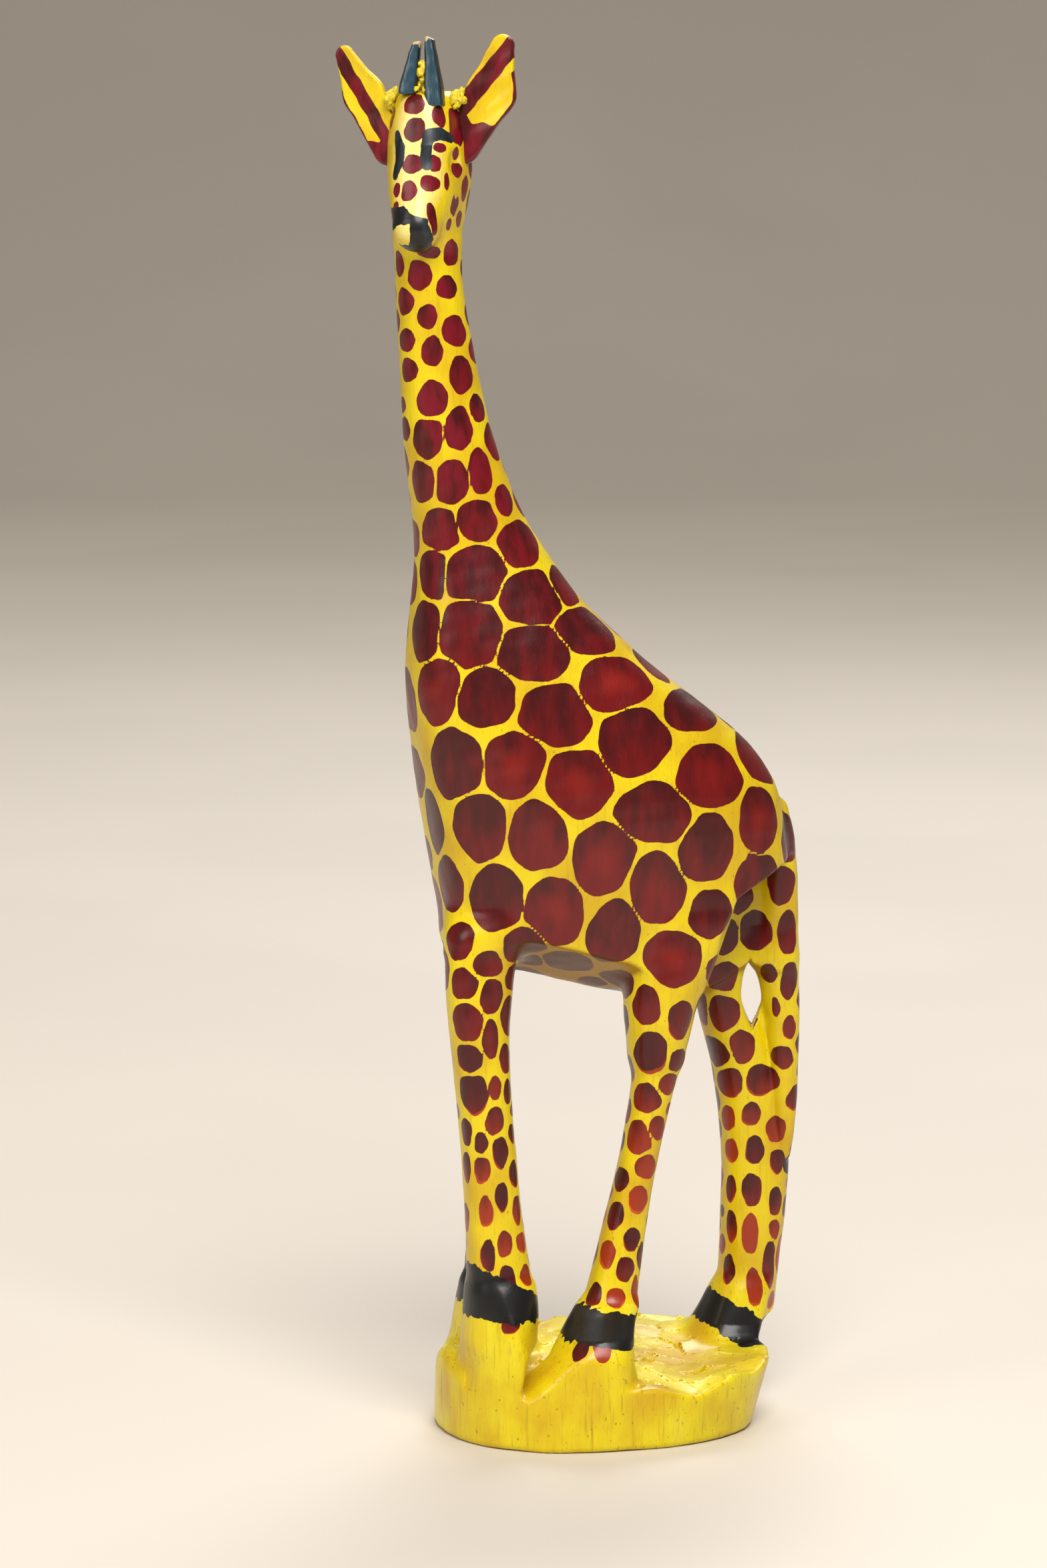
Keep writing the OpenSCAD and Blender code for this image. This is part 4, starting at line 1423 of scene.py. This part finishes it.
VIEW_AZIMUTH = 72.0
FLOOR_HALF_WIDTH, FLOOR_BEFORE, FLOOR_BEHIND, SWEEP_RADIUS, SWEEP_TOP = 3.5, 3.0, 2.6, 1.0, 3.5
FLOOR_COLOUR = (0.66, 0.60, 0.52)
SURROUNDINGS, SURROUNDINGS_STRENGTH = (1.0, 0.95, 0.88), 0.19


def build_floor():
    """A plain pale sheet that lies under the statue and sweeps up far behind it."""
    profile = [(-FLOOR_BEFORE, 0.0), (FLOOR_BEHIND, 0.0)]
    for t in np.linspace(0.1, math.pi / 2, 16):
        profile.append((FLOOR_BEHIND + SWEEP_RADIUS * math.sin(t), SWEEP_RADIUS * (1 - math.cos(t))))
    profile.append((FLOOR_BEHIND + SWEEP_RADIUS, SWEEP_TOP))
    turn = math.radians(VIEW_AZIMUTH)
    back, side = Vector((-math.sin(turn), math.cos(turn), 0)), Vector((math.cos(turn), math.sin(turn), 0))
    points = [
        back * away + side * edge * FLOOR_HALF_WIDTH + Vector((0, 0, up))
        for away, up in profile for edge in (-1, 1)
    ]
    mesh = bpy.data.meshes.new("floor")
    mesh.from_pydata(points, [], [(2 * i, 2 * i + 1, 2 * i + 3, 2 * i + 2) for i in range(len(profile) - 1)])
    mesh.polygons.foreach_set("use_smooth", np.ones(len(mesh.polygons), bool))
    floor = bpy.data.objects.new("floor", mesh)
    mesh.materials.append(plain_material("pale_floor", FLOOR_COLOUR, 0.7))
    bpy.context.scene.collection.objects.link(floor)


CAMERA_DISTANCE, CAMERA_HEIGHT = 1200 * MM, 288 * MM
CAMERA_AIM = Vector((-4.6, -14.1, 137)) * MM
CAMERA_LENS = 131.8


def build_camera():
    turn = math.radians(VIEW_AZIMUTH)
    away = Vector((math.sin(turn), -math.cos(turn), 0))
    camera = bpy.data.objects.new("camera", bpy.data.cameras.new("camera"))
    camera.data.sensor_width = 36
    camera.data.lens = CAMERA_LENS
    camera.location = away * CAMERA_DISTANCE + Vector((CAMERA_AIM.x, CAMERA_AIM.y, CAMERA_HEIGHT))
    camera.rotation_euler = (CAMERA_AIM - camera.location).to_track_quat("-Z", "Y").to_euler()
    bpy.context.scene.collection.objects.link(camera)
    bpy.context.scene.camera = camera


# Each light: name, azimuth and elevation round the statue, distance in m, size in m, watts and colour.
LIGHTS = [
    ("key", 82, 48, 1.4, 0.85, 23, (1.0, 0.97, 0.94)),
    ("front", 20, 25, 1.6, 0.9, 7, (1.0, 0.95, 0.88)),
    ("rim", 235, 40, 1.5, 0.9, 9, (0.94, 0.96, 1.0)),
    ("backdrop", 252, 50, 3.0, 1.5, 30, (1.0, 0.97, 0.93)),
]


def build_lights():
    centre = Vector((0, 0, 0.14))
    for name, azimuth, elevation, distance, size, watts, colour in LIGHTS:
        a, e = math.radians(azimuth), math.radians(elevation)
        away = Vector((math.sin(a) * math.cos(e), -math.cos(a) * math.cos(e), math.sin(e)))
        light = bpy.data.lights.new(name, "AREA")
        light.shape, light.size, light.energy, light.color = "DISK", size, watts, colour
        lamp = bpy.data.objects.new(name, light)
        lamp.location = centre + away * distance
        lamp.rotation_euler = (-away).to_track_quat("-Z", "Y").to_euler()
        bpy.context.scene.collection.objects.link(lamp)
    world = bpy.data.worlds.new("studio")
    world.use_nodes = True
    background = world.node_tree.nodes["Background"]
    background.inputs[0].default_value = (*SURROUNDINGS, 1)
    background.inputs[1].default_value = SURROUNDINGS_STRENGTH
    bpy.context.scene.world = world
    bpy.context.scene.view_settings.view_transform = "Standard"


def main():
    materials = {
        "body": painted_wood("painted_wood"),
        "base": painted_wood("yellow_base_wood", BASE_LEMON, grain=0.6, ochre=0.5, cream=0.2, specks_from=0.69),
        "ear": painted_wood("painted_ear_wood", grain=0.2, ochre=0.15, cream=0.3),
        "horn": black_horn_paint(),
        "filler": glue_filler(),
    }
    build_carving(materials)
    build_small_pieces(materials)
    build_floor()
    build_camera()
    build_lights()


main()
